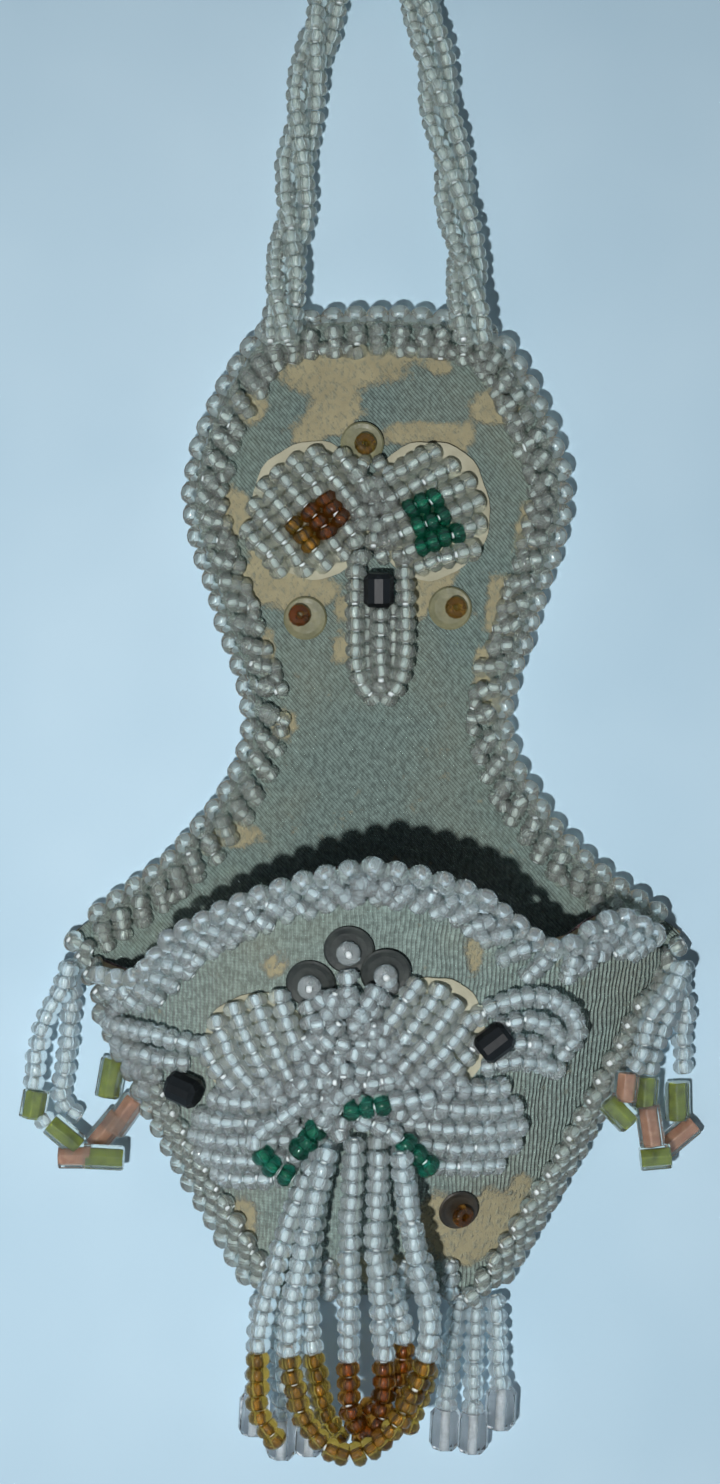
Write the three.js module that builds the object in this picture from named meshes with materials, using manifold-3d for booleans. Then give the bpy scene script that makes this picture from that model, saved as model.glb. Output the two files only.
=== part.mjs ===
// A beaded wall pocket in millimetres, +Z up, front towards -Y.
// The origin is the seat of its hanging strap, where the strap rests on whatever holds it up.
// A flat hourglass back and a bowed front panel are card covered with cloth and lined inside.
// Bead edging runs round every edge, raised beadwork lies on cream paper, and bead fringes hang free.
import * as THREE from "three";
import { mergeVertices } from "three/addons/utils/BufferGeometryUtils.js";
import Module from "manifold-3d";

const wasm = await Module();
wasm.setup();

// Glass seed bead and the strands made of it
const BEAD_DIAMETER = 3.2;
const BEAD_PITCH = 2.4;
const THREAD_WAIST = 0.72;
const KNOT_SHARE = 0.35;

// Layers of the two panels
const CARD_THICKNESS = 1.2;
const CLOTH_THICKNESS = 0.5;
const LINING_THICKNESS = 0.5;
const LAYER_GAP = 0.2;
const SEAT_GAP = 0.3;

// Depth of the hanging plane: the strap's centre is above y = 0 and the wall lies behind
const WALL_Y = 4;

// Hourglass back: half widths and heights of the outline that the rim beads follow
const CENTRE_X = 0.4;
const HEAD_TOP_Z = -57.5;
const HEAD_TOP_HALF = 14;
const SHOULDER_HALF = 25;
const SHOULDER_Z = -66.5;
const HEAD_HALF = 33;
const HEAD_Z = -88;
const WAIST_HALF = 23;
const WAIST_Z = -129;
const FLARE_HALF = 33;
const FLARE_Z = -149.5;
const HIP_HALF = 53.5;
const HIP_Z = -164;
const BOTTOM_HALF = 20.5;
const BOTTOM_Z = -225;
const SIDE_BELLY = 1.2;

// Bead edging: pitch of its stitches and how far its rim beads stand past the card
const STITCH_PITCH = 3.6;
const RIM_OVERHANG = 1.7;
const EDGING_WIDTH = 7;
const EDGING_HEIGHT = 2.9;
const RIDGE_DIP = 0.9;
const EDGING_END_GAP = 3.4;
const SIDE_EDGING_REACH = 1.5;
const LEFT_EDGING_DROP = 10.4;
const RIGHT_EDGING_DROP = 5.5;

// Bowed front panel
const FRONT_DEPTH_TOP = 26;
const FRONT_DEPTH_BOTTOM = 1.6;
const BOW_POWER = 0.8;
const HUMP_TOP_Z = -150;
const LEFT_DIP_X = -39;
const LEFT_DIP_Z = -169;
const RIGHT_DIP_X = 28;
const RIGHT_DIP_Z = -163.6;
const RIGHT_CREST_X = 38;
const RIGHT_CREST_Z = -159.4;
const CORNER_DROP = 2;
const FOOT_MARGIN = 2.6;

// How much the hips' width and the seams' lean differ from those the motif and the corner loops are drawn for
const MOTIF_SPREAD = HIP_HALF / 53.5;
const LOOP_LEAN = (HIP_HALF - BOTTOM_HALF) / (HIP_Z - BOTTOM_Z) - 33 / 61;

// Hanging strap of three bead strands twisted together
const STRAP_STRANDS = 3;
const STRAP_SIDES = 8;
const STRAP_STEPS = 26;
const STRAP_STRAND_DIAMETER = 3;
const STRAP_TWIST_RADIUS = 2.1;
const STRAP_TWISTS = 3;
const STRAP_CENTRE = [
  [-15.6, -5.6, -64],
  [-15.5, -4.6, -57],
  [-14.8, -2, -50],
  [-14, -0.4, -43],
  [-13.2, 0, -32.5],
  [-11.6, 0, -20],
  [-8.8, 0, -8],
  [-5, 0, 0.8],
  [0, 0, 3.6],
  [5, 0, 0.8],
  [8.6, 0, -8],
  [10.4, 0, -18],
  [12.6, 0, -30.5],
  [14.2, -0.4, -41],
  [15.2, -2, -49],
  [15.8, -4.6, -57],
  [16, -5.6, -64],
];

// Raised beadwork
const PAPER_THICKNESS = 0.3;
const PAPER_LIFT = 0.25;
const PAD_LIFT = 0.85;
const PAD_HEIGHT = 3;
const ROW_PITCH = 3.5;
const SEQUIN_DIAMETER = 7.3;
const SEQUIN_HOLE = 1.2;
const SEQUIN_THICKNESS = 0.35;
const SEQUIN_SIDES = 12;
const HEX_BEAD_WIDTH = 5.6;
const HEX_BEAD_LENGTH = 5.4;

// Fringes: where each one turns, and the tube beads on them
const FRINGE_DIAMETER = 3;
const FRINGE_SIDES = 5;
const FRINGE_LAYER = 3.2;
const CENTRE_GATHER_X = -2;
const CENTRE_GATHER_Z = -195.5;
const CORNER_GATHER_INSET = 0.9;
const CORNER_GATHER_DROP = 3;
const CORNER_GATHER_Y = -3;
const BOTTOM_GATHER_INSET = 3.4;
const BOTTOM_GATHER_GAP = 0.6;
const BOTTOM_GATHER_Y = -0.6;
const TUBE_SPREAD = 1.6;
const TUBE_SPREAD_DROP = 14;
const TUBE_BEAD_WIDTH = 4.3;
const END_BEAD_WIDTH = 5.2;
const END_BEAD_LENGTH = 6;

const COLOURS = {
  cloth: 0x68777a,
  front_cloth: 0x7d8878,
  card: 0xa5967d,
  lining: 0x3a1a18,
  paper: 0xc8c3aa,
  glass: 0x9aa0a4,
  amber: 0x96551a,
  black: 0x101012,
  gold: 0xb08030,
  sequin: 0x6a6a3c,
  dark_sequin: 0x4a4a44,
};

const BACK_LINING_Y = WALL_Y - LINING_THICKNESS;
const BACK_CARD_Y = BACK_LINING_Y - LAYER_GAP - CARD_THICKNESS;
const BACK_COVER_Y = BACK_CARD_Y - LAYER_GAP - CLOTH_THICKNESS;
const FOOT_Y = BACK_COVER_Y - SEAT_GAP;
const CARD_LIFT = LINING_THICKNESS + LAYER_GAP;
const COVER_LIFT = CARD_LIFT + CARD_THICKNESS + LAYER_GAP;
const FRONT_THICKNESS = COVER_LIFT + CLOTH_THICKNESS;
const RIM_INSET = RIM_OVERHANG;

const pocket = new THREE.Group();

function addPiece(name, geometry, colour, roughness = 0.8, parent = pocket) {
  const material = new THREE.MeshStandardMaterial({ color: colour, roughness, metalness: 0 });
  const mesh = new THREE.Mesh(geometry, material);
  mesh.name = name;
  parent.add(mesh);
  return mesh;
}

// One closed surface with shared corners and its faces pointing out.
function closed(geometry) {
  const bare = geometry.clone();
  bare.deleteAttribute("normal");
  bare.deleteAttribute("uv");
  const merged = mergeVertices(bare, 1e-4);
  const at = merged.getAttribute("position");
  const index = merged.index.array;
  const [a, b, c] = [new THREE.Vector3(), new THREE.Vector3(), new THREE.Vector3()];
  let volume = 0;
  for (let i = 0; i < index.length; i += 3) {
    a.fromBufferAttribute(at, index[i]);
    b.fromBufferAttribute(at, index[i + 1]);
    c.fromBufferAttribute(at, index[i + 2]);
    volume += a.dot(b.cross(c));
  }
  if (volume < 0) {
    for (let i = 0; i < index.length; i += 3) {
      [index[i], index[i + 1]] = [index[i + 1], index[i]];
    }
  }
  merged.computeVertexNormals();
  return merged;
}

function toSolid(geometry) {
  const merged = closed(geometry);
  return new wasm.Manifold(
    new wasm.Mesh({
      numProp: 3,
      vertProperties: merged.getAttribute("position").array,
      triVerts: new Uint32Array(merged.index.array),
    }),
  );
}

function fromSolid(solid) {
  const mesh = solid.getMesh();
  const geometry = new THREE.BufferGeometry();
  geometry.setAttribute("position", new THREE.BufferAttribute(mesh.vertProperties, 3));
  geometry.setIndex(new THREE.BufferAttribute(mesh.triVerts, 1));
  geometry.computeVertexNormals();
  return geometry;
}

function joined(geometries) {
  return fromSolid(geometries.map(toSolid).reduce((whole, next) => whole.add(next)));
}

// A bar whose rings of corners are given by cornerAt(side, share of its length, ring).
function barOf(sides, rings, cornerAt) {
  const bar = new THREE.CylinderGeometry(1, 1, 1, sides, rings);
  const at = bar.getAttribute("position");
  const corner = new THREE.Vector3();
  for (let i = 0; i < at.count; i++) {
    const ring = Math.round((0.5 - at.getY(i)) * rings);
    const onAxis = Math.hypot(at.getX(i), at.getZ(i)) < 0.5;
    if (onAxis) {
      corner.set(0, 0, 0);
      for (let side = 0; side < sides; side++) {
        corner.addScaledVector(cornerAt(side, ring / rings, ring), 1 / sides);
      }
    } else {
      const turn = Math.atan2(at.getX(i), at.getZ(i)) / (2 * Math.PI);
      const side = (Math.round(turn * sides) + sides) % sides;
      corner.copy(cornerAt(side, ring / rings, ring));
    }
    at.setXYZ(i, corner.x, corner.y, corner.z);
  }
  return closed(bar);
}

// A bent slab: pointAt(u, v, top) gives each corner, with u and v from -1 to 1 and top 0 or 1.
function slabOf(across, down, pointAt) {
  const slab = new THREE.BoxGeometry(2, 2, 2, across, down, 1);
  const at = slab.getAttribute("position");
  for (let i = 0; i < at.count; i++) {
    const point = pointAt(at.getX(i), at.getY(i), at.getZ(i) > 0 ? 1 : 0);
    at.setXYZ(i, point.x, point.y, point.z);
  }
  return closed(slab);
}

// The outline of the back, from the left hip up round the head to the right hip.
function headOutline(inset) {
  const half = [
    [HIP_HALF - inset, HIP_Z + 0.4 * inset],
    [FLARE_HALF - 0.6 * inset, FLARE_Z + 0.8 * inset],
    [WAIST_HALF - inset, WAIST_Z],
    [(WAIST_HALF + HEAD_HALF) / 2 - inset, (WAIST_Z + HEAD_Z) / 2],
    [HEAD_HALF - inset, HEAD_Z],
    [SHOULDER_HALF - 0.7 * inset, SHOULDER_Z - 0.7 * inset],
    [HEAD_TOP_HALF - 0.3 * inset, HEAD_TOP_Z - inset - 0.5],
  ];
  const left = half.map(([x, z]) => new THREE.Vector2(CENTRE_X - x, z));
  const right = half.map(([x, z]) => new THREE.Vector2(CENTRE_X + x, z)).reverse();
  return new THREE.SplineCurve([...left, ...right]);
}

// Half width of the V below the hips, along which the two panels are sewn.
function sideHalf(z, inset) {
  const share = THREE.MathUtils.clamp((HIP_Z - z) / (HIP_Z - BOTTOM_Z), 0, 1);
  const straight = THREE.MathUtils.lerp(HIP_HALF, BOTTOM_HALF, share);
  return straight + SIDE_BELLY * Math.sin(Math.PI * share) - inset;
}

function backShape(inset) {
  const points = headOutline(inset).getSpacedPoints(64);
  const below = 6;
  const bottom = BOTTOM_Z + inset;
  for (let i = 1; i <= below; i++) {
    const z = THREE.MathUtils.lerp(HIP_Z, bottom, i / below);
    points.push(new THREE.Vector2(CENTRE_X + sideHalf(z, inset), z));
  }
  for (let i = below; i >= 1; i--) {
    const z = THREE.MathUtils.lerp(HIP_Z, bottom, i / below);
    points.push(new THREE.Vector2(CENTRE_X - sideHalf(z, inset), z));
  }
  return new THREE.Shape(points);
}

// A flat sheet cut to a shape in the XZ plane, its front face at frontY.
function sheet(shape, thickness, frontY) {
  const flat = new THREE.ExtrudeGeometry(shape, {
    depth: thickness,
    bevelEnabled: false,
    curveSegments: 10,
  });
  flat.rotateX(Math.PI / 2);
  flat.translate(0, frontY + thickness, 0);
  return closed(flat);
}

function addBack() {
  const shape = backShape(RIM_INSET);
  addPiece("back_lining", sheet(shape, LINING_THICKNESS, BACK_LINING_Y), COLOURS.lining);
  addPiece("back_board", sheet(shape, CARD_THICKNESS, BACK_CARD_Y), COLOURS.card);
  addPiece("back_cover", sheet(shape, CLOTH_THICKNESS, BACK_COVER_Y), COLOURS.cloth, 0.95);
}

// The bowed front: its depth in front of the foot plane, and a point lifted off its inside.
const FOOT_INSET = FOOT_MARGIN + FRONT_THICKNESS;

function bowDepth(x, z) {
  const half = sideHalf(z, FOOT_INSET);
  const share = THREE.MathUtils.clamp((HUMP_TOP_Z - z) / (HUMP_TOP_Z - BOTTOM_Z), 0, 1);
  const deepest = THREE.MathUtils.lerp(FRONT_DEPTH_TOP, FRONT_DEPTH_BOTTOM, share);
  const across = THREE.MathUtils.clamp((x - CENTRE_X) / half, -1, 1);
  return deepest * Math.pow(1 - across * across, BOW_POWER);
}

function bowNormal(x, z) {
  const step = 0.3;
  const slopeX = (bowDepth(x + step, z) - bowDepth(x - step, z)) / (2 * step);
  const slopeZ = (bowDepth(x, z + step) - bowDepth(x, z - step)) / (2 * step);
  return new THREE.Vector3(-slopeX, -1, -slopeZ).normalize();
}

function onBow(x, z, lift) {
  const point = new THREE.Vector3(x, FOOT_Y - bowDepth(x, z), z);
  return point.addScaledVector(bowNormal(x, z), lift);
}

function onFront(x, z, lift) {
  return onBow(x, z, FRONT_THICKNESS + lift);
}

function onBack(x, z, lift) {
  return new THREE.Vector3(x, BACK_COVER_Y - lift, z);
}

// The scalloped mouth edge, a height for each share from the left corner to the right one.
const mouthHalf = HIP_HALF - FOOT_INSET;
const mouthCurve = new THREE.SplineCurve([
  new THREE.Vector2(CENTRE_X - mouthHalf, HIP_Z - CORNER_DROP - 1.5),
  new THREE.Vector2(LEFT_DIP_X, LEFT_DIP_Z),
  new THREE.Vector2(-31.5, -162.2),
  new THREE.Vector2(-23, -157),
  new THREE.Vector2(-13.5, -152.8),
  new THREE.Vector2(-2, HUMP_TOP_Z),
  new THREE.Vector2(8.5, -151.6),
  new THREE.Vector2(16.5, -155.2),
  new THREE.Vector2(RIGHT_DIP_X, RIGHT_DIP_Z),
  new THREE.Vector2(RIGHT_CREST_X, RIGHT_CREST_Z),
  new THREE.Vector2(CENTRE_X + mouthHalf, HIP_Z - CORNER_DROP),
]);

// A point of the front panel's outline plane: u from -1 at the left seam to 1, v from 0 at the mouth.
function frontPlan(u, v) {
  const mouth = mouthCurve.getPoint((u + 1) / 2);
  const bottomZ = BOTTOM_Z + RIM_INSET;
  const z = THREE.MathUtils.lerp(mouth.y, bottomZ, v);
  const level = THREE.MathUtils.lerp(HIP_Z - CORNER_DROP, bottomZ, v);
  const spread = sideHalf(level, FOOT_INSET) / mouthHalf;
  return new THREE.Vector2(CENTRE_X + (mouth.x - CENTRE_X) * spread, z);
}

function frontShell(lift, thickness) {
  return slabOf(22, 10, (u, v, top) => {
    const eased = Math.sin((u * Math.PI) / 2);
    const share = (1 - v) / 2;
    const place = frontPlan(0.35 * u + 0.65 * eased, share);
    return onBow(place.x, place.y, lift + (top ? thickness : 0));
  });
}

function addFront() {
  addPiece("front_lining", frontShell(0, LINING_THICKNESS), COLOURS.lining);
  addPiece("front_board", frontShell(CARD_LIFT, CARD_THICKNESS), COLOURS.card);
  addPiece("front_cover", frontShell(COVER_LIFT, CLOTH_THICKNESS), COLOURS.front_cloth, 0.95);
}

// Bead edging: a band with one ridge for each stitch, its corners given from the rim inwards.
function edging(length, rimAt) {
  const stitches = Math.round(length / STITCH_PITCH);
  const section = [
    [RIM_OVERHANG, SEAT_GAP],
    [RIM_OVERHANG, EDGING_HEIGHT - 0.9],
    [-EDGING_WIDTH / 3, EDGING_HEIGHT],
    [1 - EDGING_WIDTH, EDGING_HEIGHT / 2 + SEAT_GAP],
    [1 - EDGING_WIDTH, SEAT_GAP],
  ];
  return barOf(section.length, stitches * 2, (side, share, ring) => {
    const [out, up] = section[side];
    const dip = ring % 2 === 0 && up > SEAT_GAP ? RIDGE_DIP : 0;
    const pull = ring % 2 === 0 && out === RIM_OVERHANG ? RIDGE_DIP : 0;
    return rimAt(share, out - pull, up - dip);
  });
}

function addBackEdging() {
  const outline = headOutline(RIM_INSET);
  const length = outline.getLength();
  const trim = EDGING_END_GAP / length;
  const band = edging(length, (share, out, up) => {
    const t = THREE.MathUtils.lerp(trim, 1 - trim, share);
    const place = outline.getPointAt(t);
    const along = outline.getTangentAt(t);
    return onBack(place.x - along.y * out, place.y + along.x * out, up);
  });
  addPiece("back_edge_beading", band, COLOURS.glass, 0.2);
}

function addMouthEdging() {
  const inset = 0.08;
  const reach = (share) => THREE.MathUtils.lerp(inset - 1, 1 - inset, share);
  const samples = [];
  for (let i = 0; i <= 40; i++) {
    const place = frontPlan(reach(i / 40), 0);
    samples.push(onFront(place.x, place.y, SEAT_GAP / 2));
  }
  const rim = new THREE.CatmullRomCurve3(samples);
  const band = edging(rim.getLength(), (share, out, up) => {
    const place = rim.getPointAt(share);
    const along = rim.getTangentAt(share);
    const normal = bowNormal(place.x, place.z);
    const outward = new THREE.Vector3().crossVectors(along, normal).normalize();
    if (outward.z < 0) outward.negate();
    return place.clone().addScaledVector(outward, out).addScaledVector(normal, up);
  });
  addPiece("mouth_edge_beading", band, COLOURS.glass, 0.2);
}

// Edging over a side seam: it fills the corner between the bowed front and the back panel.
function addSideEdging(name, hand, drop) {
  const top = HIP_Z - CORNER_DROP - drop;
  const bottom = BOTTOM_Z + RIM_INSET;
  const length = Math.hypot(top - bottom, HIP_HALF - BOTTOM_HALF);
  const stitches = Math.round(length / STITCH_PITCH);
  const band = barOf(6, stitches * 2, (side, share, ring) => {
    const z = THREE.MathUtils.lerp(top, bottom, share);
    const dip = ring % 2 === 0 ? RIDGE_DIP : 0;
    const outer = (x, y) => new THREE.Vector3(CENTRE_X + hand * (sideHalf(z, 0) - x), y, z);
    const flank = (reach, lift) => {
      const point = onFront(CENTRE_X + hand * (sideHalf(z, FOOT_INSET) - reach), z, lift);
      return point.setZ(z);
    };
    if (side === 0) return outer(FOOT_MARGIN - 2 * SEAT_GAP, FOOT_Y - SEAT_GAP);
    if (side === 1) return outer(dip, FOOT_Y - SEAT_GAP);
    if (side === 2) return outer(dip + 0.6, FOOT_Y - BEAD_DIAMETER + dip);
    if (side === 3) return flank(SIDE_EDGING_REACH, EDGING_HEIGHT - dip);
    if (side === 4) return flank(SIDE_EDGING_REACH, 2 * SEAT_GAP);
    return flank(SIDE_EDGING_REACH / 3, 3 * SEAT_GAP);
  });
  addPiece(name, band, COLOURS.glass, 0.2);
}

function addBottomEdging() {
  const half = BOTTOM_HALF - FOOT_INSET - SIDE_EDGING_REACH - SEAT_GAP;
  const z = BOTTOM_Z + RIM_INSET;
  const band = edging(2 * half, (share, out, up) => {
    const x = CENTRE_X + THREE.MathUtils.lerp(-half, half, share);
    const foot = onFront(x, z - Math.min(out, 0), up + SEAT_GAP / 3);
    return new THREE.Vector3(x, foot.y, foot.z - Math.max(out, 0));
  });
  addPiece("bottom_edge_beading", band, COLOURS.glass, 0.2);
}

// The strap: each strand winds round the strap's centre line.
function strapRoute(strand) {
  const centre = new THREE.CatmullRomCurve3(STRAP_CENTRE.map((p) => new THREE.Vector3(...p)));
  const points = [];
  for (let i = 0; i <= STRAP_STEPS; i++) {
    const share = i / STRAP_STEPS;
    const place = centre.getPointAt(share);
    const along = centre.getTangentAt(share);
    const turn = 2 * Math.PI * (STRAP_TWISTS * share + strand / STRAP_STRANDS);
    const side = new THREE.Vector3(-along.z, 0, along.x).normalize();
    place.addScaledVector(side, STRAP_TWIST_RADIUS * Math.cos(turn));
    place.y += STRAP_TWIST_RADIUS * Math.sin(turn);
    points.push(place);
  }
  return new THREE.CatmullRomCurve3(points);
}

function addStrap() {
  const section = new THREE.Shape(
    Array.from({ length: STRAP_SIDES }, (_, i) => {
      const turn = (2 * Math.PI * i) / STRAP_SIDES;
      const radius = STRAP_STRAND_DIAMETER / 2;
      return new THREE.Vector2(radius * Math.cos(turn), radius * Math.sin(turn));
    }),
  );
  for (let strand = 0; strand < STRAP_STRANDS; strand++) {
    const tube = new THREE.ExtrudeGeometry(section, {
      steps: STRAP_STEPS,
      extrudePath: strapRoute(strand),
    });
    addPiece(`strap_strand_${strand + 1}`, closed(tube), COLOURS.glass, 0.2);
  }
}

// A raised pad of bead rows: an oval whose rows run along one direction and may bow sideways.
function beadPad({ x, z, tilt, length, width, bow = 0, blunt = 0.92 }, surface) {
  const rows = Math.max(2, Math.round(width / ROW_PITCH));
  const along = new THREE.Vector2(Math.cos(tilt), Math.sin(tilt));
  const across = new THREE.Vector2(-along.y, along.x);
  return slabOf(4, rows * 2, (u, v, top) => {
    const reach = (length / 2) * Math.sqrt(1 - (blunt * v) ** 2);
    const px = u * reach;
    const py = (v * width) / 2 + bow * (1 - u * u);
    const line = Math.round(v * rows + rows);
    const ridge = line % 2 === 1 ? 1 : 1 - RIDGE_DIP / PAD_HEIGHT;
    const round = Math.sqrt(1 - 0.6 * u * u);
    const height = top ? PAD_HEIGHT * ridge * round : 0;
    const place = new THREE.Vector2().addScaledVector(along, px).addScaledVector(across, py);
    return surface(x + place.x, z + place.y, PAD_LIFT + height);
  });
}

function paperOval({ x, z, width, height }, surface) {
  return slabOf(6, 6, (u, v, top) => {
    const px = (u * width * Math.sqrt(1 - (v * v) / 2)) / 2;
    const pz = (v * height * Math.sqrt(1 - (u * u) / 2)) / 2;
    return surface(x + px, z + pz, PAPER_LIFT + (top ? PAPER_THICKNESS : 0));
  });
}

const degrees = THREE.MathUtils.degToRad;

function addUpperMotif() {
  const left = paperOval({ x: -10.8, z: -91.4, width: 20.6, height: 23.4 }, onBack);
  const right = paperOval({ x: 9.2, z: -91.4, width: 20.8, height: 23.4 }, onBack);
  addPiece("upper_template", joined([left, right]), COLOURS.paper);
  const lobeLeft = { x: -11.4, z: -92.2, tilt: degrees(-52), length: 20, width: 17.5 };
  addPiece("upper_lobe_left", beadPad(lobeLeft, onBack), COLOURS.glass, 0.2);
  const lobeRight = { x: 9.6, z: -91.2, tilt: degrees(24), length: 19, width: 20 };
  addPiece("upper_lobe_right", beadPad(lobeRight, onBack), COLOURS.glass, 0.2);
  const stem = { x: 0.9, z: -116.6, tilt: Math.PI / 2, length: 15.5, width: 11.6, blunt: 0.6 };
  addPiece("upper_stem", beadPad(stem, onBack), COLOURS.glass, 0.2);
  addHexBead("upper_black_bead", 0.3, -104.6, 0, onBack);
}

// A point on the front panel's cloth for a motif: the motif widens and narrows with the hips.
function onMotif(x, z, lift) {
  return onFront(CENTRE_X + (x - CENTRE_X) * MOTIF_SPREAD, z, lift);
}

function addFrontMotif() {
  const paperLeft = { x: -18.4, z: -180.4, width: 17, height: 18.4 };
  addPiece("front_template_left", paperOval(paperLeft, onMotif), COLOURS.paper);
  const paperRight = { x: 9.4, z: -178, width: 15, height: 20 };
  addPiece("front_template_right", paperOval(paperRight, onMotif), COLOURS.paper);
  const upperLeft = { x: -18.6, z: -180.8, tilt: degrees(-63), length: 15, width: 14 };
  addPiece("front_lobe_upper_left", beadPad(upperLeft, onMotif), COLOURS.glass, 0.2);
  const upperRight = { x: 6.4, z: -178.6, tilt: degrees(52), length: 18.6, width: 15.5 };
  addPiece("front_lobe_upper_right", beadPad(upperRight, onMotif), COLOURS.glass, 0.2);
  const lowerLeft = { x: -21.7, z: -197, tilt: degrees(6), length: 12.4, width: 10.4 };
  addPiece("front_lobe_lower_left", beadPad(lowerLeft, onMotif), COLOURS.glass, 0.2);
  const lowerRight = { x: 15.4, z: -194.4, tilt: degrees(-4), length: 15.5, width: 13.5 };
  addPiece("front_lobe_lower_right", beadPad(lowerRight, onMotif), COLOURS.glass, 0.2);
  const leafLeft = { x: -33, z: -180, tilt: degrees(-34), length: 11.4, width: 6.4, bow: 0.8 };
  addPiece("front_leaf_left", beadPad(leafLeft, onMotif), COLOURS.amber, 0.2);
  const leafRight = { x: 28, z: -174.8, tilt: degrees(34), length: 14, width: 7, bow: 0.8 };
  addPiece("front_leaf_right", beadPad(leafRight, onMotif), COLOURS.amber, 0.2);
  addHexBead("leaf_black_bead_left", -31.4, -189.2, degrees(-40), onMotif);
  addHexBead("leaf_black_bead_right", 19.2, -180.6, degrees(40), onMotif);
}

// A faceted black bead that lies on a surface, its bore along the given tilt.
function addHexBead(name, x, z, tilt, surface) {
  const bead = turnedRing(SEQUIN_HOLE, HEX_BEAD_WIDTH, HEX_BEAD_LENGTH, 6, 0);
  bead.rotateX(Math.PI / 2);
  bead.rotateY(tilt);
  const holder = seatOn(surface, x, z, PAD_LIFT + HEX_BEAD_WIDTH / 2);
  addPiece(name, bead, COLOURS.black, 0.1, holder);
}

// A group that stands on a surface, its own +Y pointing out of it.
function seatOn(surface, x, z, lift) {
  const holder = new THREE.Group();
  const foot = surface(x, z, 0);
  const normal = surface(x, z, 1).sub(foot).normalize();
  holder.position.copy(foot).addScaledVector(normal, lift);
  holder.quaternion.setFromUnitVectors(new THREE.Vector3(0, 1, 0), normal);
  pocket.add(holder);
  return holder;
}

// A ring turned about +Y: a sequin or a bead lying on its flat side.
function turnedRing(hole, diameter, thickness, sides, belly) {
  const profile = [
    new THREE.Vector2(hole / 2, -thickness / 2),
    new THREE.Vector2(diameter / 2 - belly, -thickness / 2),
    new THREE.Vector2(diameter / 2, 0),
    new THREE.Vector2(diameter / 2 - belly, thickness / 2),
    new THREE.Vector2(hole / 2, thickness / 2),
    new THREE.Vector2(hole / 2, -thickness / 2),
  ];
  return closed(new THREE.LatheGeometry(profile, sides));
}

function addSequin(name, x, z, surface, lift, colour, diameter = SEQUIN_DIAMETER) {
  const height = lift + SEQUIN_THICKNESS / 2;
  const ring = turnedRing(SEQUIN_HOLE, diameter, SEQUIN_THICKNESS, SEQUIN_SIDES, 0.1);
  addPiece(name, ring, colour, 0.3, seatOn(surface, x, z, height));
}

function addSeatedBead(name, x, z, surface, lift, colour) {
  const height = lift + SEQUIN_THICKNESS + SEAT_GAP + BEAD_PITCH / 2;
  const bead = turnedRing(1, BEAD_DIAMETER, BEAD_PITCH, 8, 0.5);
  addPiece(name, bead, colour, 0.2, seatOn(surface, x, z, height));
}

function addSequins() {
  const onPaper = PAPER_LIFT + PAPER_THICKNESS + SEAT_GAP;
  addSequin("sequin_top", -2.2, -80.1, onBack, onPaper, COLOURS.sequin);
  addSeatedBead("sequin_top_bead", -1.7, -80.3, onBack, onPaper, COLOURS.gold);
  addSequin("sequin_left", -11.9, -109.8, onBack, SEAT_GAP, COLOURS.sequin);
  addSeatedBead("sequin_left_bead", -12.6, -109.4, onBack, SEAT_GAP, COLOURS.gold);
  addSequin("sequin_right", 12.8, -108.1, onBack, SEAT_GAP, COLOURS.sequin);
  addSeatedBead("sequin_right_bead", 13.6, -108.1, onBack, SEAT_GAP, COLOURS.gold);
  addSequin("sequin_low", 13.2, -208, onMotif, SEAT_GAP + 0.2, COLOURS.sequin, 6.8);
  addSeatedBead("sequin_low_bead", 13.6, -208.4, onMotif, SEAT_GAP + 0.2, COLOURS.gold);
  const trefoil = [
    ["top", -4.1, -163.2, 0.5],
    ["left", -10, -168.9, 0.5],
    ["right", 1.5, -166.7, 1.1],
  ];
  for (const [place, x, z, lift] of trefoil) {
    addSequin(`trefoil_sequin_${place}`, x, z, onMotif, lift, COLOURS.dark_sequin, 7.8);
  }
}

// A run of beads along a route: rings as wide as the beads between rings at the thread's waist.
function strand(route, diameter, sides, ringPitch) {
  const curve = new THREE.CatmullRomCurve3(route.map((p) => new THREE.Vector3(...p)));
  const rings = Math.max(4, 2 * Math.round(curve.getLength() / ringPitch));
  const frames = curve.computeFrenetFrames(rings);
  const places = curve.getSpacedPoints(rings);
  return barOf(sides, rings, (side, share, ring) => {
    const turn = (2 * Math.PI * side) / sides;
    const atKnot = ring === 0 || ring === rings;
    const radius = (diameter / 2) * (ring % 2 === 1 ? 1 : atKnot ? KNOT_SHARE : THREAD_WAIST);
    return places[ring]
      .clone()
      .addScaledVector(frames.normals[ring], radius * Math.cos(turn))
      .addScaledVector(frames.binormals[ring], radius * Math.sin(turn));
  });
}

function fringe(route) {
  return strand(route, FRINGE_DIAMETER, FRINGE_SIDES, 2 * BEAD_PITCH);
}

// Bead stems that tie the three trefoil sequins to the middle of the motif.
function addTrefoilStems() {
  const centre = [-4.2, -172.6];
  const ends = [
    ["top", -4.1, -163.2, 0.9],
    ["left", -10, -169.1, 0.9],
    ["right", 1.7, -167.3, 1.5],
  ];
  for (const [place, x, z, lift] of ends) {
    const route = [0, 0.35, 0.66].map((share) => {
      const px = THREE.MathUtils.lerp(x, centre[0], share);
      const pz = THREE.MathUtils.lerp(z, centre[1], share);
      return onMotif(px, pz, lift + BEAD_DIAMETER / 2 + SEAT_GAP).toArray();
    });
    const beads = strand(route, BEAD_DIAMETER, 6, BEAD_PITCH);
    addPiece(`trefoil_bead_${place}`, beads, COLOURS.glass, 0.2);
  }
}

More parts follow.
